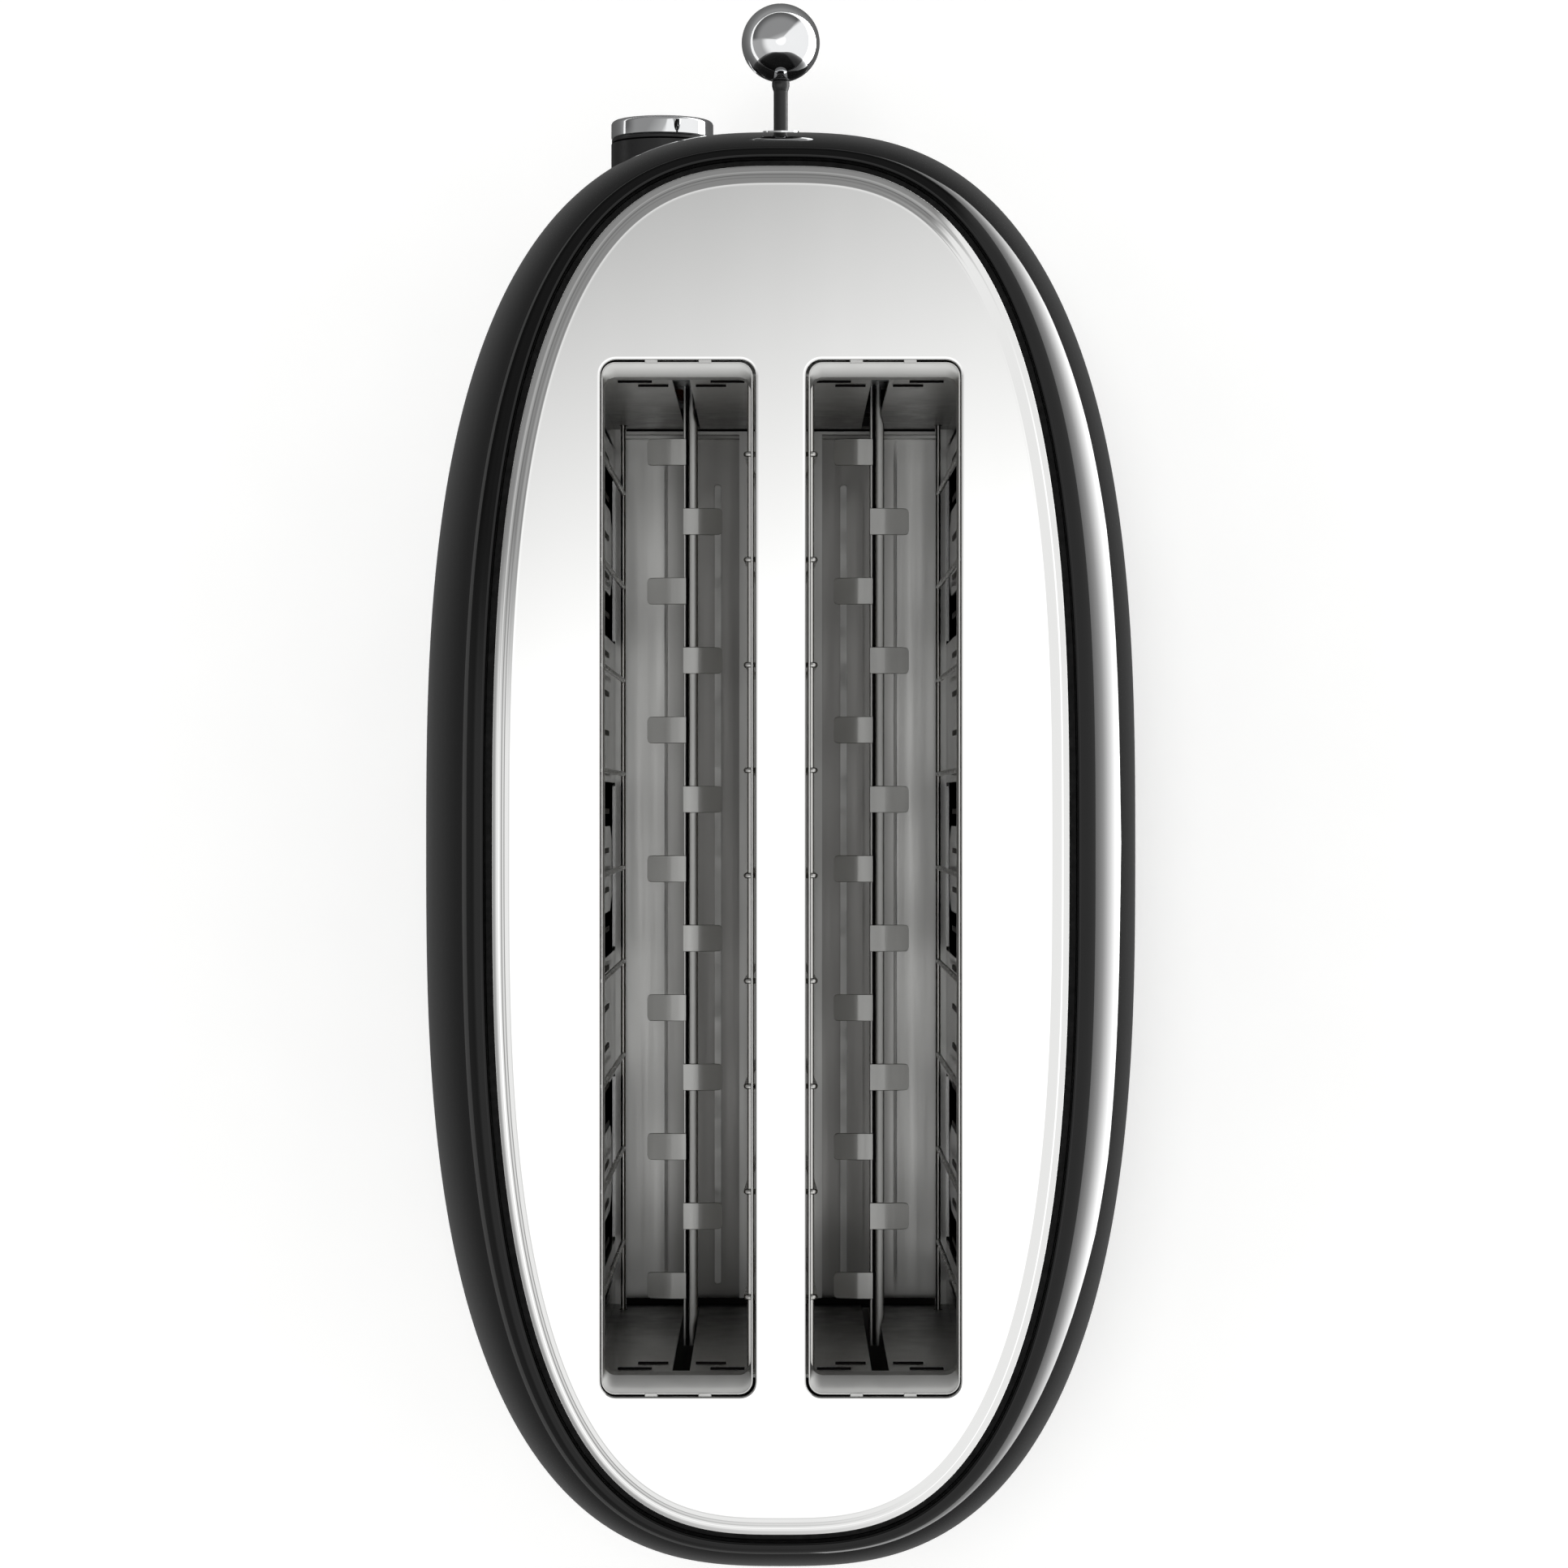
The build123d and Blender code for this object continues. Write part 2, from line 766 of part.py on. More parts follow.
def make_bread_rack(name, side):
    """Folded strip with a groove along its top, and tabs that reach out to either side in turn."""
    length = chamber_length + 2 * sheet + rack_front_reach + rack_rear_reach
    middle_y = chamber_y + (rack_rear_reach - rack_front_reach) / 2
    groove_half = rack_groove / 2
    right = rack_wall + groove_half
    left = rack_hem + groove_half
    centre_x = side * rack_x
    with BuildPart() as rack:
        with Locations((centre_x + (right - left) / 2, middle_y, rack_top - rack_depth / 2)):
            Box(right + left, length, rack_depth)
        with Locations((centre_x, middle_y, rack_top - rack_groove_depth / 2)):
            Box(rack_groove, length, rack_groove_depth, mode=Mode.SUBTRACT)
        for index in range(tab_count):
            tab_y = body_y + tab_shift + (index - (tab_count - 1) / 2) * tab_pitch
            direction = 1 if index % 2 == 0 else -1
            root = 0.0 if direction > 0 else rack_wall
            tab_x = centre_x + groove_half + (root + direction * tab_reach) / 2
            with Locations((tab_x, tab_y, rack_top + tab_thickness / 2)):
                Box(tab_reach + root, tab_length, tab_thickness)
    finish_part(rack.part, name)


def make_guard(name, side, pivot_x, top_x):
    """Wire frame that turns about its bottom rail, whose ends pass through the end plates."""
    pivot = side * pivot_x
    top = side * top_x
    rail_length = chamber_length - 2 * guard_end_clearance
    pivot_length = chamber_length + 2 * (sheet + guard_end_reach)
    lean = Vector(top - pivot, 0, guard_top_height - guard_pivot_height)
    pivot_start = (pivot, chamber_y - pivot_length / 2, guard_pivot_height)
    top_start = (top, chamber_y - rail_length / 2, guard_top_height)
    with BuildPart() as guard:
        with BuildSketch(Plane(origin=pivot_start, z_dir=(0, 1, 0))):
            Circle(guard_rail_radius)
        extrude(amount=pivot_length)
        with BuildSketch(Plane(origin=top_start, z_dir=(0, 1, 0))):
            Circle(guard_rail_radius)
        extrude(amount=rail_length)
        for index in range(guard_wire_count):
            wire_y = chamber_y + (index - (guard_wire_count - 1) / 2) * guard_wire_pitch
            with BuildSketch(Plane(origin=(pivot, wire_y, guard_pivot_height), z_dir=lean)):
                Circle(guard_wire_radius)
            extrude(amount=lean.length)
    finish_part(guard.part, name)


def make_front_carriage():
    plane = Plane(origin=(0, carriage_back, 0), x_dir=(1, 0, 0), z_dir=(0, -1, 0))
    ear_depth = bush_block_depth
    with BuildPart() as carriage:
        with BuildSketch(plane):
            with Locations((0, (carriage_bottom + carriage_shoulder) / 2)):
                Rectangle(2 * carriage_half_width, carriage_shoulder - carriage_bottom)
            with Locations((0, (carriage_shoulder + carriage_tower_top) / 2)):
                Rectangle(2 * carriage_tower_half_width, carriage_tower_top - carriage_shoulder)
        extrude(amount=carriage_thickness)
        ear_y = carriage_front - ear_depth / 2
        with Locations(
            (-ear_x, ear_y, carriage_shoulder - ear_thickness / 2),
            (ear_x, ear_y, carriage_shoulder - ear_thickness / 2),
        ):
            Box(ear_width, ear_depth, ear_thickness)
    finish_part(carriage.part, "front_carriage")


def make_carriage_bushes():
    height = carriage_shoulder - carriage_bottom - 2 * bush_block_margin
    middle = (carriage_shoulder + carriage_bottom) / 2
    with BuildPart() as bushes:
        with Locations((-rod_x, rod_y, middle), (rod_x, rod_y, middle)):
            Box(bush_block_width, bush_block_depth, height)
            Cylinder(rod_radius + running_clearance, height, mode=Mode.SUBTRACT)
    finish_part(bushes.part, "carriage_bushes")


def make_guide_rods():
    bottom = rod_bracket_bottom + rod_bracket_thickness
    with BuildPart() as rods:
        with BuildSketch(Plane.XY.offset(bottom)):
            with Locations((-rod_x, rod_y), (rod_x, rod_y)):
                Circle(rod_radius)
        extrude(amount=rod_bracket_top - bottom)
    finish_part(rods.part, "guide_rods")


def make_guide_brackets():
    middle_y = front_plate_face - rod_bracket_depth / 2
    thickness = rod_bracket_thickness
    with BuildPart() as brackets:
        with Locations((0, middle_y, rod_bracket_bottom + thickness / 2)):
            Box(2 * lower_bracket_half_width, rod_bracket_depth, thickness)
        with Locations((0, middle_y, rod_bracket_top + thickness / 2)):
            Box(2 * upper_bracket_half_width, rod_bracket_depth, thickness)
    finish_part(brackets.part, "guide_brackets")


def make_return_springs():
    bottom = carriage_shoulder
    height = rod_bracket_top - bottom - 2 * spring_wire_radius
    pitch = height / spring_turns
    with BuildPart() as springs:
        for x in (-ear_x, ear_x):
            with BuildLine(Plane(origin=(x, rod_y, bottom + spring_wire_radius))) as coil:
                Helix(pitch, height, spring_radius)
            with BuildSketch(Plane(coil.line @ 0, z_dir=coil.line % 0)):
                Circle(spring_wire_radius)
            sweep(path=coil.line, is_frenet=True)
    finish_part(springs.part, "return_springs")


def make_lever():
    stem_start = carriage_front
    ball_y = body_y - ball_centre_reach
    ball_face = ball_y + ball_radius - ball_flat
    ferrule_end = ball_face + ferrule_length
    with BuildPart() as stem:
        with BuildSketch(Plane(origin=(0, stem_start, lever_height), z_dir=(0, -1, 0))):
            Circle(stem_radius)
        extrude(amount=stem_start - ferrule_end)
    finish_part(stem.part, "lever_stem")
    with BuildPart() as ferrule:
        with BuildSketch(Plane(origin=(0, ferrule_end, lever_height), z_dir=(0, -1, 0))):
            Circle(stem_radius)
        with BuildSketch(Plane(origin=(0, ball_face, lever_height), z_dir=(0, -1, 0))):
            Circle(ferrule_radius)
        loft()
    finish_part(ferrule.part, "lever_ferrule")
    with BuildPart() as ball:
        with Locations((0, ball_y, lever_height)):
            Sphere(ball_radius)
        with Locations((0, ball_face + ball_radius, lever_height)):
            Box(2 * ball_radius, 2 * ball_radius, 2 * ball_radius, mode=Mode.SUBTRACT)
    finish_part(ball.part, "lever_ball")


def make_latch():
    magnet_y = carriage_front - armature_size / 2
    core_top = carriage_bottom - carriage_travel - magnet_gap
    base_top = pan_top + magnet_base_thickness
    yoke_top = base_top + magnet_yoke_thickness
    with BuildPart() as armature:
        with Locations((latch_x, magnet_y, carriage_bottom + armature_thickness / 2)):
            Box(armature_size, armature_size, armature_thickness)
    finish_part(armature.part, "latch_armature")
    with BuildPart() as base:
        with Locations((latch_x, magnet_y, pan_top + magnet_base_thickness / 2)):
            Box(armature_size, armature_size, magnet_base_thickness)
    finish_part(base.part, "magnet_base")
    with BuildPart() as core:
        with Locations((latch_x, magnet_y, base_top + magnet_yoke_thickness / 2)):
            Box(armature_size, armature_size, magnet_yoke_thickness)
        with BuildSketch(Plane.XY.offset(yoke_top)):
            with Locations((latch_x, magnet_y)):
                Circle(magnet_post_radius)
        extrude(amount=core_top - yoke_top)
    finish_part(core.part, "electromagnet_core")
    with BuildPart() as coil:
        with BuildSketch(Plane.XY.offset(yoke_top)):
            with Locations((latch_x, magnet_y)):
                Circle(coil_radius)
                Circle(magnet_post_radius + running_clearance, mode=Mode.SUBTRACT)
        extrude(amount=core_top - yoke_top - coil_drop)
    finish_part(coil.part, "electromagnet_coil")


def make_main_switch():
    switch_y = carriage_front + carriage_thickness / 2
    case_top = pan_top + switch_height
    plunger_top = carriage_bottom - carriage_travel - switch_plunger_gap
    case_y = switch_y - switch_depth / 2 + carriage_thickness
    with BuildPart() as switch:
        with Locations((-latch_x, case_y, pan_top + switch_height / 2)):
            Box(switch_width, switch_depth, switch_height)
        with BuildSketch(Plane.XY.offset(case_top)):
            with Locations((-latch_x, switch_y)):
                Circle(switch_plunger_radius)
        extrude(amount=plunger_top - case_top)
    finish_part(switch.part, "main_switch")


def make_board(name, side, bottom, top):
    width = board_outer_x - board_inner_x
    centre_x = side * (board_outer_x + board_inner_x) / 2
    with BuildPart() as board:
        with Locations((centre_x, board_y + board_thickness / 2, (bottom + top) / 2)):
            Box(width, board_thickness, top - bottom)
    finish_part(board.part, name)


def make_board_posts():
    board_back = board_y + board_thickness
    heights = {
        1: (knob_board_bottom + post_margin, knob_board_top - post_margin),
        -1: (button_board_bottom + post_margin, button_board_top - post_margin),
    }
    with BuildPart() as posts:
        for side in (-1, 1):
            for height in heights[side]:
                with BuildSketch(Plane(origin=(side * post_x, front_plate_face, height), z_dir=(0, -1, 0))):
                    Circle(post_radius)
                extrude(amount=front_plate_face - board_back)
    finish_part(posts.part, "board_posts")


def make_board_parts():
    board_back = board_y + board_thickness
    with BuildPart() as potentiometer:
        with BuildSketch(Plane(origin=(knob_x, board_y, knob_height), z_dir=(0, -1, 0))):
            Circle(potentiometer_radius)
            Circle(spindle_radius + running_clearance, mode=Mode.SUBTRACT)
        extrude(amount=potentiometer_length)
    finish_part(potentiometer.part, "browning_potentiometer")
    with BuildPart() as relay:
        with Locations((relay_x, board_back + relay_size[1] / 2, relay_height)):
            Box(*relay_size)
    finish_part(relay.part, "relay")
    with BuildPart() as capacitor:
        with BuildSketch(Plane(origin=(capacitor_x, board_back, capacitor_height), z_dir=(0, 1, 0))):
            Circle(capacitor_radius)
        extrude(amount=capacitor_length)
    finish_part(capacitor.part, "capacitor")


def make_knob():
    collar_plane = Plane(origin=(knob_x, body_y - knob_collar_front, knob_height), z_dir=(0, 1, 0))
    with BuildPart() as collar:
        with BuildSketch(collar_plane):
            Circle(knob_radius)
            Circle(spindle_hole_radius, mode=Mode.SUBTRACT)
        extrude(amount=knob_radius)
        add(outer_form, mode=Mode.SUBTRACT)
    finish_part(collar.part, "knob_collar")
    barrel_face = knob_face_y - knob_barrel_length
    spindle_length = knob_face_y - (body_y - spindle_rear)
    with BuildPart() as barrel:
        with BuildSketch(Plane(origin=(knob_x, knob_face_y, knob_height), z_dir=(0, -1, 0))):
            Circle(knob_radius)
        extrude(amount=knob_barrel_length)
        with BuildSketch(Plane(origin=(knob_x, knob_face_y, knob_height), z_dir=(0, -1, 0))):
            Circle(spindle_radius)
        extrude(amount=spindle_length)
    finish_part(barrel.part, "knob_barrel")
    cap_front = barrel_face - knob_cap_length
    with BuildPart() as cap:
        with BuildSketch(Plane(origin=(knob_x, barrel_face, knob_height), z_dir=(0, -1, 0))):
            Circle(knob_radius)
        extrude(amount=knob_cap_length)
        front_edge = cap.edges().filter_by(GeomType.CIRCLE).sort_by(Axis.Y)[0]
        fillet(front_edge, knob_cap_round)
        with Locations((knob_x, cap_front, knob_height + knob_radius / 2)):
            Box(knob_mark_width, 2 * knob_mark_depth, knob_mark_length, mode=Mode.SUBTRACT)
    finish_part(cap.part, "knob_cap")


def make_buttons():
    bezel_form = shell_form(-bezel_proud)
    button_form = shell_form(-button_proud)
    bore = button_radius + button_clearance
    switch_front = board_front + tact_switch_length
    stem_rear = switch_front + button_travel + button_stem_gap
    with BuildPart() as bezels:
        for height in button_heights:
            with BuildSketch(Plane(origin=(button_x, body_y - bezel_rear, height), z_dir=(0, -1, 0))):
                Circle(bezel_radius - bezel_clearance)
                Circle(bore, mode=Mode.SUBTRACT)
            extrude(amount=girth_half_length - bezel_rear + bezel_proud)
        add(bezel_form, mode=Mode.INTERSECT)
    finish_part(bezels.part, "button_bezels")
    for name, height in zip(button_names, button_heights):
        with BuildPart() as button:
            with BuildSketch(Plane(origin=(button_x, body_y - button_rear, height), z_dir=(0, -1, 0))):
                Circle(button_radius)
            extrude(amount=girth_half_length - button_rear + button_proud)
            add(button_form, mode=Mode.INTERSECT)
            with BuildSketch(Plane(origin=(button_x, body_y - button_rear, height), z_dir=(0, 1, 0))):
                Circle(button_stem_radius)
            extrude(amount=button_rear - stem_rear)
        finish_part(button.part, name)
    with BuildPart() as switches:
        for height in button_heights:
            with Locations((button_x, board_y - tact_switch_length / 2, height)):
                Box(tact_switch_size, tact_switch_length, tact_switch_size)
    finish_part(switches.part, "tact_switches")


def make_crumb_tray():
    floor_top = tray_bottom + tray_sheet
    front_y = front_wall_y + tray_front_clearance
    rear_y = body_y + girth_half_length
    handle_outline = girth_points(bottom_tuck)
    tray_outline = girth_points(bottom_tuck + handle_thickness)
    inside = oval_prism(tray_outline, tray_bottom, tray_top)
    hollow = oval_prism(girth_points(bottom_tuck + handle_thickness + tray_sheet), floor_top, tray_top)
    length = rear_y - front_y
    with BuildPart() as space:
        with Locations((0, front_y + tray_sheet + length / 2, floor_top + tray_height / 2)):
            Box(2 * (tray_half_width - tray_sheet), length, tray_height)
        add(hollow, mode=Mode.INTERSECT)
    with BuildPart() as tray:
        with Locations((0, front_y + length / 2, tray_bottom + tray_height / 2)):
            Box(2 * tray_half_width, length, tray_height)
        add(inside, mode=Mode.INTERSECT)
        add(space.part, mode=Mode.SUBTRACT)
        with BuildSketch(Plane.XY.offset(floor_top)):
            with Locations((-tray_rib_x, chamber_y), (tray_rib_x, chamber_y)):
                SlotOverall(tray_rib_length, tray_rib_width, rotation=90)
        extrude(amount=tray_rib_height)
        with BuildSketch(Plane.XY.offset(floor_top)):
            with Locations((-tray_crease_x, chamber_y), (tray_crease_x, chamber_y)):
                Rectangle(tray_crease_width, chamber_length - tray_rib_width)
        extrude(amount=tray_crease_height)
    finish_part(tray.part, "crumb_tray")
    handle_space = oval_prism(handle_outline, tray_bottom, tray_top)
    grip_y = body_y + girth_half_length - bottom_tuck
    grip_z = tray_bottom + handle_grip_lift + handle_grip_height / 2
    with BuildPart() as handle:
        with Locations((0, rear_y, tray_bottom + tray_height / 2)):
            Box(2 * tray_half_width, girth_half_length, tray_height)
        add(handle_space, mode=Mode.INTERSECT)
        with Locations((0, grip_y + handle_grip_reach / 2 - handle_thickness / 4, grip_z)):
            Box(2 * handle_grip_half_width, handle_grip_reach + handle_thickness, handle_grip_height)
        add(inside, mode=Mode.SUBTRACT)
    finish_part(handle.part, "tray_handle")


def make_tray_runners():
    height = tray_bottom - runner_gap - pan_top
    middle = pan_top + height / 2
    with BuildPart() as runners:
        with Locations((-runner_x, chamber_y, middle), (runner_x, chamber_y, middle)):
            Box(runner_width, runner_length, height)
    finish_part(runners.part, "tray_runners")


def make_supply():
    centre = (0, body_y - cord_y)
    with BuildPart() as bush:
        with BuildSketch(Plane.XY.offset(pan_bottom - cord_bush_flange)):
            with Locations(centre):
                Circle(cord_bush_flange_radius)
        extrude(amount=cord_bush_flange)
        with BuildSketch(Plane.XY.offset(pan_bottom)):
            with Locations(centre):
                Circle(cord_bush_radius)
        extrude(amount=pan_floor + cord_bush_height)
        with BuildSketch(Plane.XY.offset(pan_bottom - cord_bush_flange)):
            with Locations(centre):
                Circle(cord_bush_bore_radius)
        extrude(amount=cord_bush_flange + pan_floor + cord_bush_height, mode=Mode.SUBTRACT)
    finish_part(bush.part, "cord_bush")
    with BuildPart() as terminal:
        with Locations((terminal_x, centre[1], pan_top + terminal_size[2] / 2)):
            Box(*terminal_size)
        with BuildSketch(Plane.XY.offset(pan_top + terminal_size[2])):
            with Locations((terminal_x, centre[1])):
                with GridLocations(terminal_hole_pitch, 0, 3, 1):
                    Circle(terminal_hole_radius)
        extrude(amount=-terminal_size[2] / 2, mode=Mode.SUBTRACT)
    finish_part(terminal.part, "terminal_block")


make_shell_sections()
make_lever_slot_trim()
make_top_plate()
make_rim_seal()
make_base_ring()
make_base_pan()
make_rubber_feet()
make_foot_screws()
make_foot_nuts()
make_chassis_plate("front_chassis_plate", front_wall_y, -1)
make_chassis_plate("rear_chassis_plate", rear_wall_y, 1)
make_reflector("left_reflector", -1)
make_reflector("right_reflector", 1)
make_bottom_frame()
make_heater_card("left_heater_card", -outer_card_x, True)
make_heater_card("centre_heater_card", 0.0, False)
make_heater_card("right_heater_card", outer_card_x, True)
make_heater_ribbons()
make_bread_rack("left_bread_rack", -1)
make_bread_rack("right_bread_rack", 1)
make_guard("left_outer_guard", -1, outer_guard_pivot_x, outer_guard_top_x)
make_guard("left_inner_guard", -1, inner_guard_pivot_x, inner_guard_top_x)
make_guard("right_inner_guard", 1, inner_guard_pivot_x, inner_guard_top_x)
make_guard("right_outer_guard", 1, outer_guard_pivot_x, outer_guard_top_x)
make_front_carriage()
make_carriage_bushes()
make_guide_rods()
make_guide_brackets()
make_return_springs()
make_lever()
make_latch()
make_main_switch()
make_board("control_board", 1, knob_board_bottom, knob_board_top)
make_board("button_board", -1, button_board_bottom, button_board_top)
make_board_posts()
make_board_parts()
make_knob()
make_buttons()
make_crumb_tray()
make_tray_runners()
make_supply()
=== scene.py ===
# Long two-slot toaster: gloss black oval shell, polished top plate, lever with a chrome ball.
# Metres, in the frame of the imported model. The lever end looks along -Y, and the slots run along Y.
import json
import math

import bmesh
import bpy
import numpy as np
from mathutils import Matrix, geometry


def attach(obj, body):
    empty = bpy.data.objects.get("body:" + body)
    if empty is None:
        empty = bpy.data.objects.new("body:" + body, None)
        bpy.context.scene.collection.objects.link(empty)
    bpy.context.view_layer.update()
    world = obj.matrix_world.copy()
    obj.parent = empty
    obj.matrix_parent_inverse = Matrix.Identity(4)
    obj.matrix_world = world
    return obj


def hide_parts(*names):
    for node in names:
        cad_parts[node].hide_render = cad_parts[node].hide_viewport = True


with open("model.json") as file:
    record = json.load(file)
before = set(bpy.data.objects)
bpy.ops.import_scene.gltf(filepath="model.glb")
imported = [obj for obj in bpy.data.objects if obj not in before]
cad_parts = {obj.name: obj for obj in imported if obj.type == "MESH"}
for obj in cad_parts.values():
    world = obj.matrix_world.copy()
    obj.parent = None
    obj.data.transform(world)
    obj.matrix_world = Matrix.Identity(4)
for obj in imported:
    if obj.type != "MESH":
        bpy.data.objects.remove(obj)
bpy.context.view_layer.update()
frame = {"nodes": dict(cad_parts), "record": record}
print("frame loaded,", len(frame["nodes"]), "nodes")

mm = 0.001
bodyY = 16.9  # middle of the shell along Y, in mm as all sizes below

# helpers for meshes


def placed(name, data):
    # a new object in the scene, at the origin
    made = bpy.data.objects.new(name, data)
    bpy.context.scene.collection.objects.link(made)
    return made


def evenAngles(oval, count):
    # angles at which the oval |x/a|^n + |y/b|^n = 1 has points at equal steps along its length
    dense = np.linspace(0, 2 * np.pi, 60001)
    line = ovalPoints(oval, dense, 0.0)
    run = np.concatenate([[0], np.cumsum(np.hypot(*np.diff(line, axis=0).T))])
    return np.interp(np.arange(count) * run[-1] / count, run, dense)


def ovalPoints(oval, angles, inset):
    # x = a sgn(cos) |cos|^(2/n), y = b sgn(sin) |sin|^(2/n), then moved inwards along the normal by the inset
    a, b, n = oval
    c, s = np.cos(angles), np.sin(angles)
    x = a * np.sign(c) * np.abs(c) ** (2 / n)
    y = b * np.sign(s) * np.abs(s) ** (2 / n)
    nx = np.sign(c) * (np.abs(x) / a) ** (n - 1) / a
    ny = np.sign(s) * (np.abs(y) / b) ** (n - 1) / b
    length = np.hypot(nx, ny)
    return np.stack([x - inset * nx / length, bodyY + y - inset * ny / length], -1)


def roundedRectangle(width, length, radius, perCorner, centre):
    # a rectangle whose four corners are quarter circles, with the same count of points on each corner
    turn = np.linspace(0, np.pi / 2, perCorner)
    corners = []
    for quarter, (sx, sy) in enumerate(((1, 1), (-1, 1), (-1, -1), (1, -1))):
        middle = np.array([sx * (width / 2 - radius), sy * (length / 2 - radius)])
        angle = turn + quarter * np.pi / 2
        corners.append(middle + radius * np.stack([np.cos(angle), np.sin(angle)], -1))
    return np.concatenate(corners) + np.array(centre)


def closedGrid(points, closeRows=False):
    # a grid of points as one part: its points in a list, and quads that wrap round each row
    rows, columns = points.shape[:2]
    r, c = np.meshgrid(np.arange(rows if closeRows else rows - 1), np.arange(columns), indexing="ij")
    r2, c2 = (r + 1) % rows, (c + 1) % columns
    corners = [r * columns + c, r * columns + c2, r2 * columns + c2, r2 * columns + c]
    return points.reshape(-1, 3), np.stack(corners, -1).reshape(-1, 4)


def capped(rows):
    # rings of points as one closed part, with a point in the middle of each end
    first, last = (np.repeat(rows[end].mean(0)[None, None], rows.shape[1], 1) for end in (0, -1))
    return closedGrid(np.concatenate([first, rows, last]))


def atHeight(line, height):
    # a flat line of points lifted to a height
    return np.concatenate([line, np.full((len(line), 1), height)], 1)


def fullTurn(steps):
    return np.arange(steps) * 2 * np.pi / steps


def turned(profile, centre, axis, steps=48):
    # a profile of (radius, height) pairs turned round an axis through the centre
    profile = np.array(profile, float)
    axis = np.array(axis, float) / np.linalg.norm(axis)
    side = np.cross(axis, (0.0, 0.0, 1.0) if abs(axis[2]) < 0.9 else (1.0, 0.0, 0.0))
    side /= np.linalg.norm(side)
    other = np.cross(axis, side)
    angle = fullTurn(steps)
    ring = np.cos(angle)[:, None] * side + np.sin(angle)[:, None] * other
    points = np.array(centre, float) + profile[:, 1, None, None] * axis + profile[:, 0, None, None] * ring
    return closedGrid(points)


def roundWire(path, radius, sides=10):
    # a circle carried along a path that runs along Y or in X and Z, closed at both ends by a point
    path = np.array(path, float)
    along = np.gradient(path, axis=0)
    along /= np.linalg.norm(along, axis=1)[:, None]
    upright = np.abs(along[:, 2]).max() >= 0.9
    reference = np.array((0.0, 1.0, 0.0) if upright else (0.0, 0.0, 1.0))
    side = np.cross(along, reference)
    side /= np.linalg.norm(side, axis=1)[:, None]
    other = np.cross(along, side)
    angle = fullTurn(sides)
    ring = np.cos(angle)[:, None, None] * side + np.sin(angle)[:, None, None] * other
    return capped(np.transpose(path + radius * ring, (1, 0, 2)))


# which of across, along and height goes to X, Y and Z, by the axis that a sheet is square to
axisOrder = {"z": [0, 1, 2], "x": [2, 0, 1], "y": [0, 2, 1]}


def slab(loop, low, high, edge=0.0, plane="z"):
    # a flat sheet on a closed convex outline: two faces, a wall and a small chamfer between them
    loop = np.array(loop, float)
    toMiddle = loop.mean(0) - loop
    inner = loop + edge * toMiddle / np.linalg.norm(toMiddle, axis=1)[:, None]
    rows = ((inner, low), (loop, low + edge), (loop, high - edge), (inner, high))
    return capped(np.stack([atHeight(*row) for row in rows])[:, :, axisOrder[plane]])


def bar(low, high, edge):
    # a straight bar between two corners with its edges broken
    low, high = np.array(low, float), np.array(high, float)
    loop = roundedRectangle(high[0] - low[0], high[1] - low[1], edge, 3, (low[:2] + high[:2]) / 2)
    return slab(loop, low[2], high[2], edge * 0.8)


def filledSheet(outer, holes, low, high, plane="z"):
    # a flat sheet with holes: its outline in Delaunay triangles at two heights, with walls between
    loops = [np.array(outer, float)] + [np.array(hole, float) for hole in holes]
    starts = np.cumsum([0] + [len(loop) for loop in loops])
    flat = np.concatenate(loops)
    rings = [list(range(a, b)) for a, b in zip(starts[:-1], starts[1:])]
    made = geometry.delaunay_2d_cdt([tuple(p) for p in flat], [], rings, 2, 1e-7)
    triangles = np.array(made[2])
    flat = np.array([tuple(p) for p in made[0]])
    count = len(flat)
    points = np.concatenate([atHeight(flat, low), atHeight(flat, high)])
    wall = []
    for a, b in zip(starts[:-1], starts[1:]):
        index = np.arange(a, b)
        nextOne = np.roll(index, -1)
        wall.append(np.stack([index, nextOne, nextOne + count, index + count], -1))
    triangles = np.concatenate([triangles[:, ::-1], triangles + count])
    return points[:, axisOrder[plane]], np.concatenate(wall), triangles


def joinedMesh(name, parts):
    # all parts in one mesh; doubles are merged, and every face is turned outwards
    points, faces, start = [], [], 0
    for part in parts:
        points.append(part[0])
        for block in part[1:]:
            faces += (np.asarray(block) + start).tolist()
        start += len(part[0])
    mesh = bpy.data.meshes.new(name)
    mesh.from_pydata((np.concatenate(points) * mm).tolist(), [], faces)
    work = bmesh.new()
    work.from_mesh(mesh)
    bmesh.ops.remove_doubles(work, verts=work.verts, dist=1e-7)
    bmesh.ops.dissolve_degenerate(work, edges=work.edges, dist=1e-8)
    bmesh.ops.recalc_face_normals(work, faces=work.faces)
    work.to_mesh(mesh)
    work.free()
    return mesh


def smoothed(mesh, sharp=35):
    # smooth shading, but for the edges above this angle in degrees
    mesh.shade_smooth()
    mesh.set_sharp_from_angle(angle=math.radians(sharp))


def makePiece(name, parts, body, slot, stands=(), sharp=35, material=None):
    # a piece: its mesh, the body it rides on, its slot and the nodes it stands for
    mesh = joinedMesh(name, parts)
    smoothed(mesh, sharp)
    mesh.materials.append(material or finish[slot])
    piece = placed(name, mesh)
    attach(piece, body)
    if stands:
        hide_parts(*stands)
    return piece


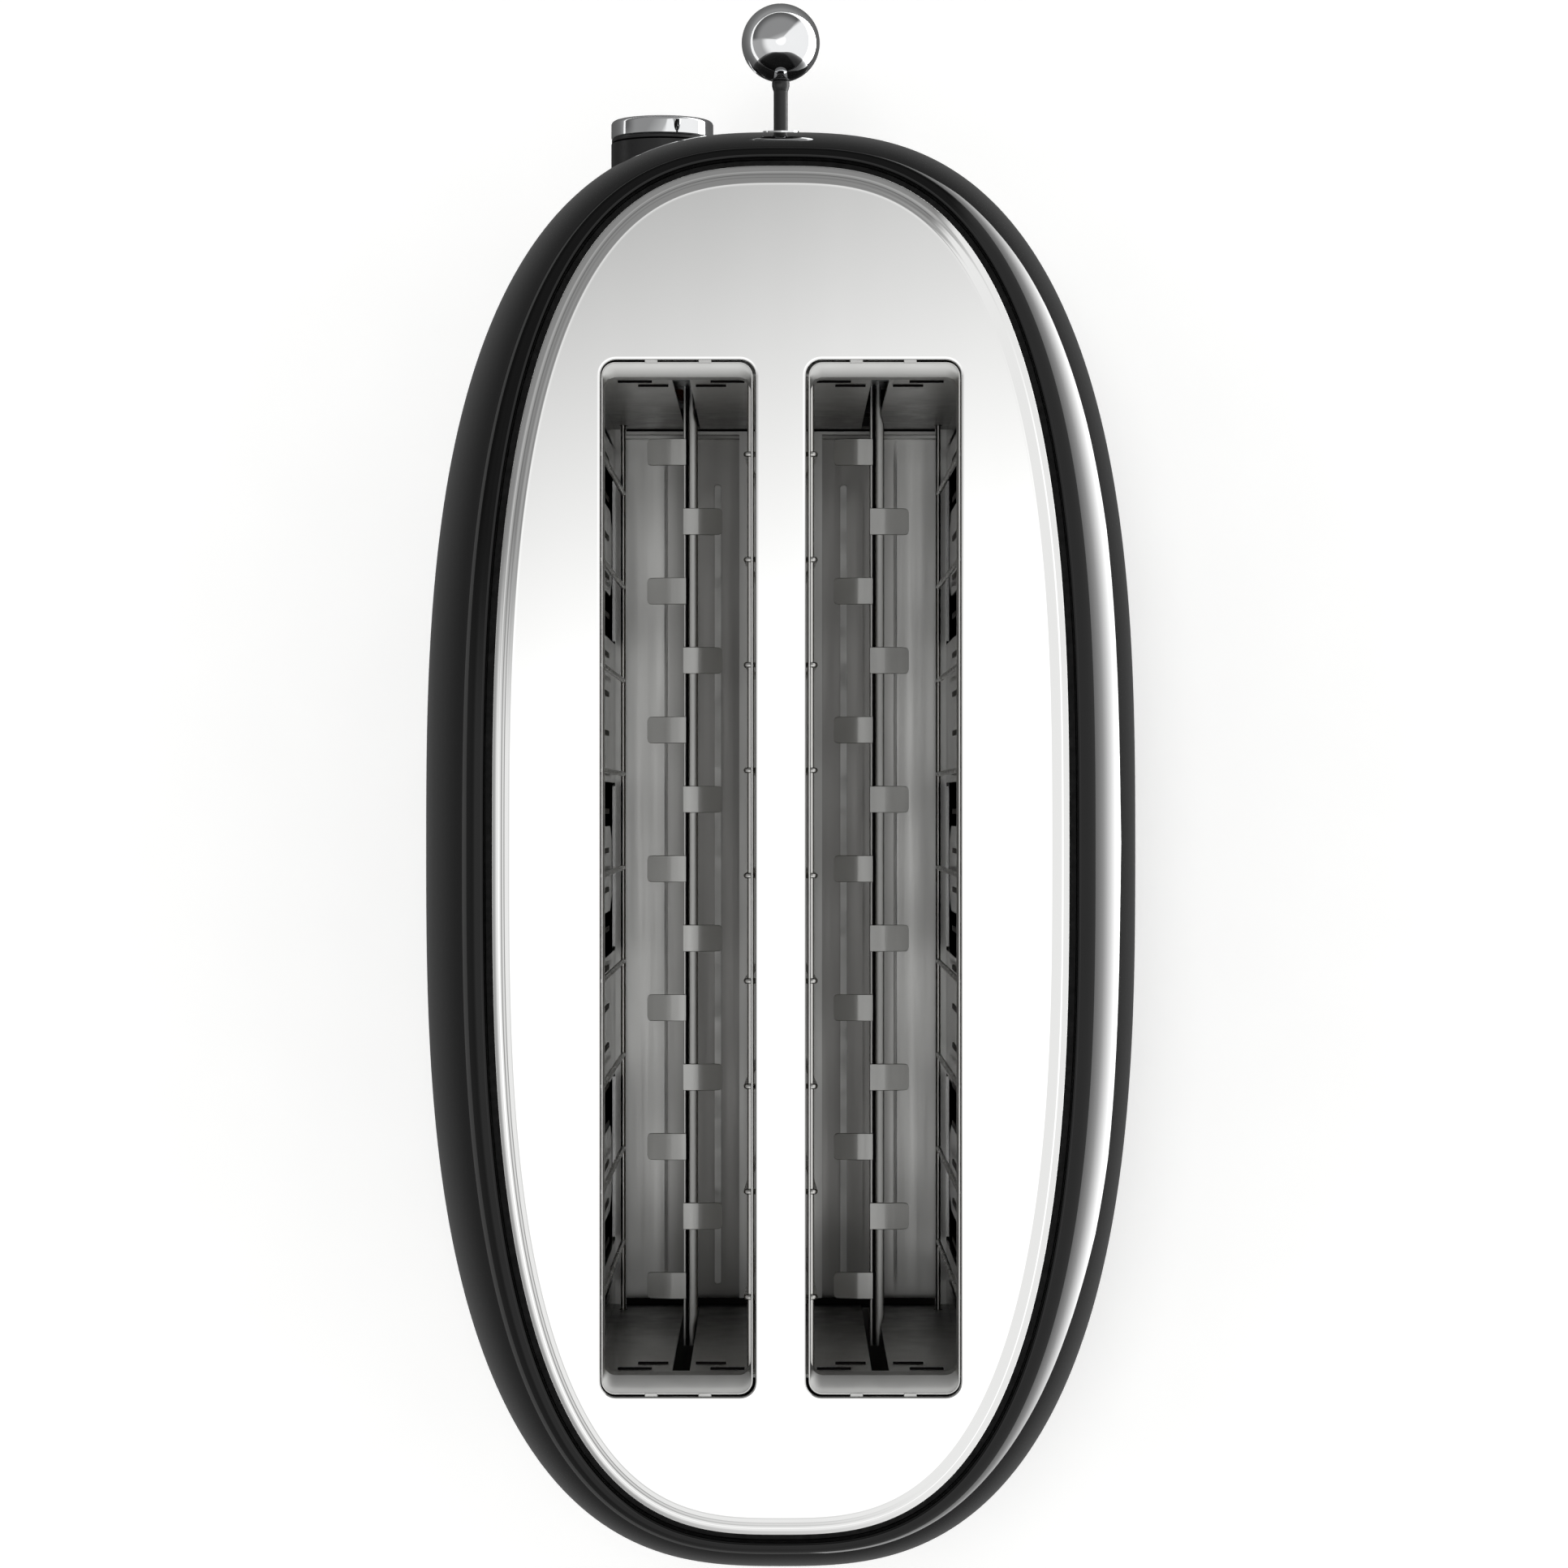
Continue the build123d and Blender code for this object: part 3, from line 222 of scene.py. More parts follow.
def cutAway(piece, parts):
    # takes closed cutting forms out of a piece, and keeps the result as its mesh
    cutters = []
    for index, part in enumerate(parts):
        cutter = placed("cutter", joinedMesh("cutter", [part]))
        cutters.append(cutter)
        cut = piece.modifiers.new("cut%d" % index, "BOOLEAN")
        cut.operation = "DIFFERENCE"
        cut.solver = "EXACT"
        cut.object = cutter
    made = bpy.data.meshes.new_from_object(piece.evaluated_get(bpy.context.evaluated_depsgraph_get()))
    piece.modifiers.clear()
    piece.data = made
    for cutter in cutters:
        bpy.data.objects.remove(cutter)
    smoothed(made)


# helpers for materials


def linearColour(code):
    # sRGB hex to linear: c / 12.92 below 0.04045, else ((c + 0.055) / 1.055) ^ 2.4
    parts = [int(code[k:k + 2], 16) / 255 for k in (1, 3, 5)]
    return tuple(c / 12.92 if c <= 0.04045 else ((c + 0.055) / 1.055) ** 2.4 for c in parts) + (1.0,)


def emptyTree(owner):
    # turns a material or a world over to nodes, and clears them
    owner.use_nodes = True
    owner.node_tree.nodes.clear()
    return owner.node_tree


def addNode(tree, kind, settings=None):
    # one node; a setting is an attribute or an input socket, and takes a value or the output of another node
    made = tree.nodes.new(kind)
    for key, value in (settings or {}).items():
        if isinstance(value, bpy.types.NodeSocket):
            tree.links.new(value, made.inputs[key])
        elif isinstance(key, str) and hasattr(made, key):
            setattr(made, key, value)
        else:
            made.inputs[key].default_value = value
    return made


def objectPlace(tree):
    return addNode(tree, "ShaderNodeTexCoord").outputs["Object"]


def splitAxes(tree, vector):
    return addNode(tree, "ShaderNodeSeparateXYZ", {0: vector}).outputs


def mathNode(tree, operation, *values):
    settings = {"operation": operation, **dict(enumerate(values))}
    return addNode(tree, "ShaderNodeMath", settings).outputs[0]


def mixNode(tree, factor, first, second, kind="RGBA"):
    # from the first colour to the second, or between two levels with the kind FLOAT
    start, output = {"RGBA": (6, 2), "FLOAT": (2, 0)}[kind]  # sockets of the first value and of the result
    settings = {"data_type": kind, 0: factor, start: first, start + 1: second}
    return addNode(tree, "ShaderNodeMix", settings).outputs[output]


def ramped(tree, value, start, end, low, high, smooth=False):
    # a value carried from one range to another, held at its ends
    settings = {"From Min": start, "From Max": end, "To Min": low, "To Max": high, "Value": value}
    settings["interpolation_type"] = "SMOOTHSTEP" if smooth else "LINEAR"
    return addNode(tree, "ShaderNodeMapRange", settings).outputs[0]


def surfaceMaterial(name, shader, tint, rough=None, bump=None, paintedShade=None, stretch=(1.0, 1.0, 1.0)):
    # a real surface: noise in object coordinates, stretched along the axes, on the shader's fixed values,
    # plus an optional painted shade along one axis
    # tint: (dark hex, light hex, size mm); rough: (low, high, size mm); bump: (height mm, size mm)
    # paintedShade: (hex of the painted shade near the origin, mm along an axis where it starts to give way,
    # mm where it ends, axis)
    material = bpy.data.materials.new(name)
    tree = emptyTree(material)
    place = objectPlace(tree)
    settings = dict(shader)

    def pattern(size, detail=3.0):
        scale = tuple(1 / (size * mm * s) for s in stretch)
        scaled = addNode(tree, "ShaderNodeMapping", {"Scale": scale, "Vector": place}).outputs[0]
        noise = {"Scale": 1.0, "Detail": detail, "Roughness": 0.6, "Vector": scaled}
        return addNode(tree, "ShaderNodeTexNoise", noise).outputs[0]

    dark, light, size = tint
    colour = mixNode(tree, pattern(size), linearColour(dark), linearColour(light))
    if paintedShade:
        inner, start, end, axis = paintedShade
        apart = mathNode(tree, "ABSOLUTE", splitAxes(tree, place)[axis])
        reach = ramped(tree, apart, start * mm, end * mm, 0.0, 1.0, True)
        colour = mixNode(tree, reach, linearColour(inner), colour)
    settings["Base Color"] = colour
    if rough:
        low, high, size = rough
        settings["Roughness"] = ramped(tree, pattern(size), 0.3, 0.7, low, high)
    if bump:
        height, size = bump
        raised = {"Strength": 1.0, "Distance": height * mm, "Height": pattern(size, 2.0)}
        settings["Normal"] = addNode(tree, "ShaderNodeBump", raised).outputs[0]
    made = addNode(tree, "ShaderNodeBsdfPrincipled", settings)
    addNode(tree, "ShaderNodeOutputMaterial", {"Surface": made.outputs[0]})
    return material


metal = {"Metallic": 1.0}
acrossGrain = (1.0, 40.0, 1.0)  # rolled sheet with its grain along Y
windings = (20.0, 20.0, 1.0)  # turns of a coil, stacked along Z

# materials, by the record's slot

finish = {}

# stove enamel on steel: sprayed and baked, so deep black, mirror gloss, with the faintest orange peel
finish["gloss_black"] = surfaceMaterial(
    "stoveEnamelBlack", {"Roughness": 0.03, "Specular IOR Level": 0.3, "IOR": 1.5},
    tint=("#050505", "#0A0A0A", 60), bump=(0.004, 6),
)
# polished stainless steel: rolled, then buffed, so a mirror with a slight haze along Y
finish["polished_steel"] = surfaceMaterial(
    "buffedStainless", metal,
    tint=("#E4E4E3", "#EDEDEC", 40), rough=(0.03, 0.06, 20), stretch=acrossGrain,
)
# satin stainless: the drawn lining of the slots, not buffed
satinLiner = surfaceMaterial(
    "satinStainless", metal,
    tint=("#CBCBC9", "#D7D7D5", 12), rough=(0.38, 0.5, 6), bump=(0.006, 1.0),
)
# chrome plate on steel: brightest mirror, a cool tint
finish["chrome_trim"] = surfaceMaterial(
    "chromePlate", metal,
    tint=("#E9EAEB", "#F2F3F4", 15), rough=(0.015, 0.035, 8),
)
# moulded rubber: matt, dark, fine grain
finish["black_rubber"] = surfaceMaterial(
    "mouldedRubber", {"IOR": 1.5},
    tint=("#0B0B0B", "#141414", 5), rough=(0.6, 0.8, 2), bump=(0.02, 0.6),
)
# moulded ABS: black with a satin spark texture
finish["black_plastic"] = surfaceMaterial(
    "mouldedAbs", {"IOR": 1.53},
    tint=("#0C0C0D", "#131314", 12), rough=(0.3, 0.42, 3), bump=(0.008, 0.7),
)
# aluminised steel sheet: rolled, mid grey, soft reflection, a few heat tints
finish["galvanised_sheet"] = surfaceMaterial(
    "aluminisedSheet", metal,
    tint=("#A7A7A5", "#BDBDBB", 18), rough=(0.3, 0.42, 6), bump=(0.01, 1.5), stretch=acrossGrain,
)
# mica board: layered flakes, warm grey, half gloss
finish["heater_mica"] = surfaceMaterial(
    "micaBoard", {"IOR": 1.58},
    tint=("#A9A396", "#CFC9BB", 9), rough=(0.1, 0.18, 4), bump=(0.006, 3),
)
# nickel chrome ribbon: oxidised grey by heat
finish["heater_ribbon"] = surfaceMaterial(
    "oxidisedRibbon", metal,
    tint=("#4E4A46", "#6C6862", 4), rough=(0.4, 0.55, 2),
)
# plated wire: drawn steel with a bright nickel coat
finish["bright_wire"] = surfaceMaterial(
    "nickelWire", metal,
    tint=("#C4C3C0", "#D4D3D0", 8), rough=(0.24, 0.34, 4), stretch=acrossGrain,
)
# zinc plated steel: stamped, cool grey, slightly mottled
finish["zinc_steel"] = surfaceMaterial(
    "zincPlated", metal,
    tint=("#B1B5B8", "#C9CCCE", 7), rough=(0.25, 0.38, 5),
)
# tray sheet: aluminised steel, rolled along the slots, with painted shade darkening it towards the middle,
# where racks and guards hide the sky
finish["tray_steel"] = surfaceMaterial(
    "trayAluminisedPaintedShade", metal,
    tint=("#C4C4C2", "#D5D5D3", 14), rough=(0.28, 0.4, 5), bump=(0.01, 1.2),
    paintedShade=("#91908E", 27.0, 36.0, 0), stretch=acrossGrain,
)
# sintered bronze bushes
finish["brass_bush"] = surfaceMaterial(
    "sinteredBronze", metal,
    tint=("#9A7442", "#B58A52", 2), rough=(0.35, 0.5, 1.5),
)
# enamelled copper winding: fine turns across Z
finish["copper_coil"] = surfaceMaterial(
    "enamelledCopper", metal,
    tint=("#8A4A28", "#B0673A", 1.2), rough=(0.2, 0.35, 1.2), bump=(0.05, 1.0), stretch=windings,
)
# glass fibre board under green solder mask
finish["circuit_board"] = surfaceMaterial(
    "solderMaskGreen", {"IOR": 1.5},
    tint=("#123E26", "#1B5433", 8), rough=(0.25, 0.4, 3),
)
# pale moulded nylon
finish["pale_plastic"] = surfaceMaterial(
    "mouldedNylon", {"IOR": 1.53},
    tint=("#CFCBC0", "#DDDAD1", 10), rough=(0.4, 0.55, 4), bump=(0.01, 1.0),
)
print("materials made,", len(finish))

# outer reflectors: aluminised sheet, painted near black as the shade seen behind the heater cards' cut-outs
paintedShadeSheet = surfaceMaterial(
    "paintedShadeSheet", {"IOR": 1.5, "Specular IOR Level": 0.0},
    tint=("#0B0B0A", "#191817", 15), rough=(0.55, 0.75, 8),
)
# materials of single nodes, where they differ from their slot's
nodeFinish = {"left_reflector": paintedShadeSheet, "right_reflector": paintedShadeSheet}
# end plates of the chamber: the same sheet, bright at the mouth, with painted shade darkening it down towards
# the tray, near black at the rear
endSheetsPaintedShade = {  # material name, colour at the foot, and the heights between which it gives way
    "front_chassis_plate": ("frontSheetPaintedShade", "#565553", 55.0, 190.0),
    "rear_chassis_plate": ("rearSheetPaintedShade", "#161615", 48.0, 172.0),
}
for nodeName, (sheetName, foot, footHeight, mouthHeight) in endSheetsPaintedShade.items():
    nodeFinish[nodeName] = surfaceMaterial(
        sheetName, metal,
        tint=("#E2E2E0", "#EFEFED", 18), rough=(0.3, 0.42, 6), bump=(0.01, 1.5),
        paintedShade=(foot, footHeight, mouthHeight, 2), stretch=acrossGrain,
    )
# reflector sheet in front of each outer mica card: bright annealed aluminium
brightCard = surfaceMaterial(
    "annealedAluminium", metal,
    tint=("#E3E3E2", "#F1F1F0", 20), rough=(0.14, 0.22, 8), stretch=acrossGrain,
)

slotOf = {part["node"]: part["material_slot"] for part in frame["record"]["subparts"]}
for nodeName, nodeObject in frame["nodes"].items():
    nodeObject.data.materials.clear()
    nodeObject.data.materials.append(nodeFinish.get(nodeName, finish[slotOf[nodeName]]))

# body shell

shell = {
    "rim": (74.5, 176.1, 2.85),  # half width, half length and exponent of the top plate's outline
    "girth": (97.55, 192.95, 2.78),  # and of the shell at its widest
    "rimGap": 1.8,
    "wall": 1.5,
    "bottom": 17.5,
    "girthHeight": 100.0,
    "crest": 206.0,
    "tuck": 5.0,  # how far the bottom edge is drawn in
    "lipDepth": 9.0,
    "lipInner": 2.6,  # depth under the crest where the lip's inner face meets the wall
    "around": 420,
}
girthAngles = evenAngles(shell["girth"], shell["around"])


def shellLine(height, inset, angles):
    # above the girth: opening + (girth - opening) * sqrt(1 - rise^2)
    # below it: girth drawn in by tuck * share^2
    if height <= shell["girthHeight"]:
        share = (shell["girthHeight"] - height) / (shell["girthHeight"] - shell["bottom"])
        return ovalPoints(shell["girth"], angles, inset + shell["tuck"] * share ** 2)
    rise = (height - shell["girthHeight"]) / (shell["crest"] - inset - shell["girthHeight"])
    opening = ovalPoints(shell["rim"], angles, -shell["rimGap"] - shell["wall"] / 2)
    wide = ovalPoints(shell["girth"], angles, inset)
    return opening + (wide - opening) * math.sqrt(max(0.0, 1 - rise ** 2))


def shellRows(inset):
    # rows of the shell from its bottom edge to its crest
    low = np.linspace(shell["bottom"], shell["girthHeight"], 14)
    turn = np.radians(np.concatenate([np.linspace(3, 60, 20), np.linspace(62, 87, 16)]))
    high = shell["girthHeight"] + (shell["crest"] - inset - shell["girthHeight"]) * np.sin(turn)
    return [atHeight(shellLine(h, inset, girthAngles), h) for h in np.concatenate([low, high])]


outerRows = shellRows(0.0)
innerRows = shellRows(shell["wall"])
lipRows = []
for turn in np.radians(np.linspace(60, 180, 9)):
    # the lip is a half circle of the wall's thickness, rolled over into the gap
    offset = -shell["rimGap"] - shell["wall"] / 2 - shell["wall"] / 2 * math.cos(turn)
    height = shell["crest"] - shell["wall"] / 2 + shell["wall"] / 2 * math.sin(turn)
    lipRows.append(atHeight(ovalPoints(shell["rim"], girthAngles, offset), height))
lipFeet = ((0.0, shell["lipDepth"]), (shell["wall"], shell["lipDepth"]), (shell["wall"], shell["lipInner"]))
for offset, drop in lipFeet:
    line = ovalPoints(shell["rim"], girthAngles, -shell["rimGap"] - offset)
    lipRows.append(atHeight(line, shell["crest"] - drop))
shellGrid = np.stack(outerRows + lipRows + innerRows[::-1])
bodyShell = makePiece(
    "bodyShell", [closedGrid(shellGrid, closeRows=True)], "housing", "gloss_black",
    ["front_shell", "rear_shell", "left_shell", "right_shell"],
)

openings = {
    "leverSlot": (0.0, 79.5, 154.5, 5.4),  # middle x, low z, high z, width
    "spindle": (33.2, 95.0, 4.6),  # x, z and radius
    "buttonX": -33.2,
    "buttonZ": (44.0, 58.0, 72.0, 86.0),
    "buttonRadius": 6.0,
    "frontReach": (-200.0, -120.0),  # Y of both ends of the cuts through the front wall
    "mouthWidth": 101.6,  # opening of the crumb tray in the rear wall
    "mouthReach": (180.0, 240.0),
    "mouthLow": 12.7,
    "mouthHigh": 22.8,
}


def throughFront(loop):
    # a cutter on an outline in X and Z, through the front wall of the shell
    return slab(loop, *openings["frontReach"], 0.0, "y")


def circleLoop(x, z, radius):
    angle = fullTurn(32)
    return np.stack([x + radius * np.cos(angle), z + radius * np.sin(angle)], -1)


slotX, slotLow, slotHigh, slotWide = openings["leverSlot"]
slotLoop = roundedRectangle(slotWide, slotHigh - slotLow, slotWide / 2, 9, (slotX, (slotLow + slotHigh) / 2))
buttonLoops = [circleLoop(openings["buttonX"], z, openings["buttonRadius"]) for z in openings["buttonZ"]]
cuts = [throughFront(loop) for loop in (slotLoop, circleLoop(*openings["spindle"]), *buttonLoops)]
mouthStart, mouthEnd = openings["mouthReach"]
mouthMiddle = (0.0, (mouthStart + mouthEnd) / 2)
mouthLoop = roundedRectangle(openings["mouthWidth"], mouthEnd - mouthStart, 0.5, 3, mouthMiddle)
cuts.append(slab(mouthLoop, openings["mouthLow"], openings["mouthHigh"]))
cutAway(bodyShell, cuts)
print("shell made,", len(bodyShell.data.polygons), "faces")

# top plate with its rolled rim, three small steps and two slots

plate = {
    "around": 400,
    "top": 207.85,
    "rim": (  # inset from the outline and height: skirt, rolled edge, then three small steps up to the flat
        (0.3, 197.2), (0.3, 200.0), (0.3, 203.0), (0.3, 205.0), (0.3, 205.95), (0.34, 206.22),
        (0.45, 206.4), (0.62, 206.52), (1.0, 206.73), (1.5, 207.0), (1.8, 207.08), (2.1, 207.1),
        (2.6, 207.1), (2.66, 207.12), (2.71, 207.15), (2.9, 207.3), (2.96, 207.34), (3.4, 207.44),
        (3.46, 207.47), (3.65, 207.62), (3.71, 207.65), (4.1, 207.71), (4.6, 207.75), (4.66, 207.77),
        (4.8, 207.84), (4.86, 207.86), (5.1, 207.85), (5.7, 207.85),
    ),
    "sheet": 0.7,
    "slotX": 26.35,
    "slotY": bodyY + 7.2,
    "slotWidth": 39.8,
    "slotLength": 265.8,
    "slotCorner": 4.0,
    "slotBorder": 0.4,  # flat band round each slot's lip
    "lipRadius": 0.5,
    "lipHeights": (206.8, 206.2),  # the lip's wall under its rounding
    "ledgeHigh": 206.0,  # the liner curves in to the chamber's end plates between these heights
    "ledgeLow": 204.1,
    "ledgeNarrow": 0.4,
    "chamberY": bodyY + 6.7,
    "chamberLength": 258.2,
    "perCorner": 10,
}
ledgeDrop = plate["ledgeHigh"] - plate["ledgeLow"]
rimAngles = evenAngles(shell["rim"], plate["around"])


def slotRow(side, outset, height):
    # a slot's outline at a height: under its lip it draws in to the chamber's end plates,
    # by the share sqrt(drop / full drop)
    share = np.sqrt(np.clip((plate["ledgeHigh"] - height) / ledgeDrop, 0, 1))
    width = plate["slotWidth"] - plate["ledgeNarrow"] * share + 2 * outset
    length = plate["slotLength"] + (plate["chamberLength"] - plate["slotLength"]) * share + 2 * outset
    middle = (side * plate["slotX"], plate["slotY"] + (plate["chamberY"] - plate["slotY"]) * share)
    outline = roundedRectangle(width, length, plate["slotCorner"] + outset, plate["perCorner"], middle)
    return atHeight(outline, height)


rimRows = [atHeight(ovalPoints(shell["rim"], rimAngles, inset), h) for inset, h in plate["rim"]]
plateParts = [closedGrid(np.stack(rimRows))]
slotEdges = []
for side in (-1, 1):
    rows = [slotRow(side, plate["lipRadius"] + plate["slotBorder"], plate["top"])]
    for turn in np.radians(np.linspace(0, 90, 8)):
        # the slot's lip is a quarter circle down into the slot
        outset = plate["lipRadius"] * (1 - math.sin(turn))
        rows.append(slotRow(side, outset, plate["top"] - plate["lipRadius"] * (1 - math.cos(turn))))
    rows += [slotRow(side, 0.0, height) for height in plate["lipHeights"]]
    slotEdges.append(rows[0][:, :2])
    plateParts.append(closedGrid(np.stack(rows)))
# the flat between rim and slots: the lower face of a sheet with two holes, turned to look up
sheetPoints, _, triangles = filledSheet(rimRows[-1][:, :2], slotEdges, plate["top"], plate["top"] + 1.0)
plateParts.append((sheetPoints[:len(sheetPoints) // 2], triangles[:len(triangles) // 2, ::-1]))
topPlate = makePiece("topPlate", plateParts, "housing", "polished_steel", ["top_plate"])
thick = topPlate.modifiers.new("sheetThickness", "SOLIDIFY")
thick.thickness = plate["sheet"] * mm
thick.offset = -1.0
print("top plate made,", len(topPlate.data.polygons), "faces")

# satin lining of each slot, and the small tabs that hold it to the plate's lip

liner = {
    "top": 206.7,
    "gap": 0.5,  # shadow line between the plate's lip and the liner
    "sheet": 0.3,
    "bendStart": 0.35,  # the rows over the ledge begin at this share, squared, of the way down
    "foot": (201.0, 198.5, 196.0),
    "tabPlaces": (-6.9, 6.9),  # across each end, where a tab bridges that gap
    "tabHalf": (1.65, 0.45),
    "tabDown": 1.2,
    "tabUp": 0.25,
}
linerHeights = [liner["top"], plate["ledgeHigh"] + 0.05, plate["ledgeHigh"] - 0.1]
linerHeights += [plate["ledgeHigh"] - ledgeDrop * v ** 2 for v in np.linspace(liner["bendStart"], 1.0, 8)]
linerHeights += [plate["ledgeLow"] - 0.15, *liner["foot"]]
linerParts = []
tabX, tabY = liner["tabHalf"]
for side in (-1, 1):
    closed = np.array((side * liner["gap"] / 2, 0.0, 0.0))  # the liner touches the lip on its outer long side
    outerFace = [slotRow(side, -liner["gap"], h) + closed for h in linerHeights]
    innerFace = [slotRow(side, -liner["gap"] - liner["sheet"], h) + closed for h in linerHeights]
    linerParts.append(closedGrid(np.stack(innerFace + outerFace[::-1]), closeRows=True))
    for end in (-1, 1):
        y = plate["slotY"] + end * (plate["slotLength"] - liner["gap"]) / 2
        for offset in liner["tabPlaces"]:
            x = side * plate["slotX"] + offset
            tabLow = (x - tabX, y - tabY, liner["top"] - liner["tabDown"])
            linerParts.append(bar(tabLow, (x + tabX, y + tabY, liner["top"] + liner["tabUp"]), 0.15))
makePiece("slotLiners", linerParts, "housing", "polished_steel", material=satinLiner)
print("slot liners made")

# lever

lever = {
    "height": 150.0,
    "ballY": bodyY - 216.3,
    "ballRadius": 10.5,
    "ballFlat": 0.4,  # how much of the ball is cut off where the ferrule meets it
    "stemRadius": 1.9,
    "stemStart": bodyY - 129.2,
    "ferrule": (  # radius and distance from the ball
        (0, 0), (1.6, 0), (2.2, 0.15), (2.35, 0.5), (2.35, 1.6), (2.15, 2.3), (1.95, 2.9), (0, 2.9),
    ),
}
ballFlat = lever["ballRadius"] - lever["ballFlat"]
ballFace = lever["ballY"] + ballFlat
ballTurn = np.radians(np.linspace(-90, 74, 40))
ballProfile = np.stack([lever["ballRadius"] * np.cos(ballTurn), lever["ballRadius"] * np.sin(ballTurn)], -1)
ballProfile = np.concatenate([ballProfile, [(2.6, ballFlat), (0.0, ballFlat)]])
stemY = ballFace + lever["ferrule"][-1][1]
stemLength = lever["stemStart"] - stemY
stem = [(0, 0), (lever["stemRadius"], 0), (lever["stemRadius"], stemLength), (0, stemLength)]
for name, node, slot, profile, y, steps in (
    ("leverBall", "lever_ball", "chrome_trim", ballProfile, lever["ballY"], 64),
    ("leverStem", "lever_stem", "black_plastic", stem, stemY, 40),
    ("leverFerrule", "lever_ferrule", "black_plastic", lever["ferrule"], ballFace, 40),
):
    makePiece(name, [turned(profile, (0, y, lever["height"]), (0, 1, 0), steps)], "carriage", slot, [node])
print("lever made")

# bread racks: a folded strip along each slot, with tabs bent out to both sides in turn

rack = {
    "x": 26.0,
    "top": 104.0,
    "depth": 8.0,
    "wall": 0.7,
    "groove": 0.8,
    "foldEdge": 0.15,
    "hem": 2.4,
    "endHem": 1.5,  # narrower where the strip runs through the end plates
    "hemSteps": (2.0, 5.0),  # distances from the end plates between which it widens
    "hemRise": 0.25,
    "front": bodyY - 128.0,
    "rear": bodyY + 139.0,
    "tabs": 13,
    "tabPitch": 19.34,
    "tabY": bodyY + 6.2,
    "tabLength": 7.4,
    "tabReach": 10.8,
    "tabCorner": 1.2,
    "tabEdge": 0.12,
    "flatReach": 4.2,
    "droop": 1.4,
    "thick": 0.8,
}
chamberFront = plate["chamberY"] - plate["chamberLength"] / 2
chamberRear = plate["chamberY"] + plate["chamberLength"] / 2


def rackStrip(side):
    # the folded strip's cross section in X and Z, carried straight along Y
    x, top, half, edge = side * rack["x"], rack["top"], rack["groove"] / 2, rack["foldEdge"]
    hemTurn = np.radians(np.linspace(0, 180, 9))

    def section(hem):
        outer = x + half + rack["wall"]
        fold = [(outer, top - rack["depth"]), (outer, top - edge), (outer - edge, top)]
        fold += [(x + half + edge, top), (x + half, top - edge)]
        fold.append((x, top - rack["depth"] + 0.5))  # the fold closes in a sharp V
        hemX = x - half - hem / 2 + hem / 2 * np.cos(hemTurn)
        hemZ = top - rack["hemRise"] * (1 - np.sin(hemTurn))
        return np.array(fold + np.stack([hemX, hemZ], -1).tolist() + [(x - half - hem, top - rack["depth"])])

    near, wide = rack["hemSteps"]
    places = [rack["front"], chamberFront + near, chamberFront + wide]
    places += [chamberRear - wide, chamberRear - near, rack["rear"]]
    rows = []
    for y in places:
        outline = section(rack["hem"] if y in places[2:4] else rack["endHem"])
        rows.append(atHeight(outline, y)[:, axisOrder["y"]])
    points, faces = closedGrid(np.stack(rows))
    count = len(rows[0])
    ends = [list(range(count))[::-1], list(range(len(points) - count, len(points)))]
    return points, faces, ends


def rackTab(side, index):
    # a tab with rounded outer corners: flat at its root, then bent down to its tip
    direction = 1 if index % 2 == 0 else -1
    y = rack["tabY"] + (index - (rack["tabs"] - 1) / 2) * rack["tabPitch"]
    root = side * rack["x"] + rack["groove"] / 2 + (rack["wall"] if direction < 0 else 0.0)
    reach = np.array([0, 1.4, 2.8, 3.9, 4.4, 5.6, 7.2, 8.8, 10.0, 10.5, rack["tabReach"]])
    corner = np.clip((reach - (rack["tabReach"] - rack["tabCorner"])) / rack["tabCorner"], 0, 1)
    half = rack["tabLength"] / 2 - rack["tabCorner"] * (1 - np.sqrt(1 - corner ** 2))
    bent = np.clip(reach - rack["flatReach"], 0, None) / (rack["tabReach"] - rack["flatReach"])
    drop = rack["droop"] * bent
    edge, thick = rack["tabEdge"], rack["thick"]
    rows = []
    for lift, shrink in ((0.0, edge), (edge, 0.0), (thick - edge, 0.0), (thick, edge)):
        for sign in (-1, 1):
            line = [root + direction * reach, y + sign * (half - shrink), rack["top"] + lift - drop]
            rows.append(np.stack(line, -1))
    ring = np.stack([rows[k] for k in (0, 1, 3, 5, 7, 6, 4, 2)], 1)  # once round the tab's section
    return capped(ring)


for side, word in ((-1, "left"), (1, "right")):
    parts = [rackStrip(side)] + [rackTab(side, index) for index in range(rack["tabs"])]
    makePiece(word + "Rack", parts, "carriage", "galvanised_sheet", [word + "_bread_rack"], sharp=30)
print("racks made")

# guard frames: two rails and upright wires, each wire hooked over the top rail

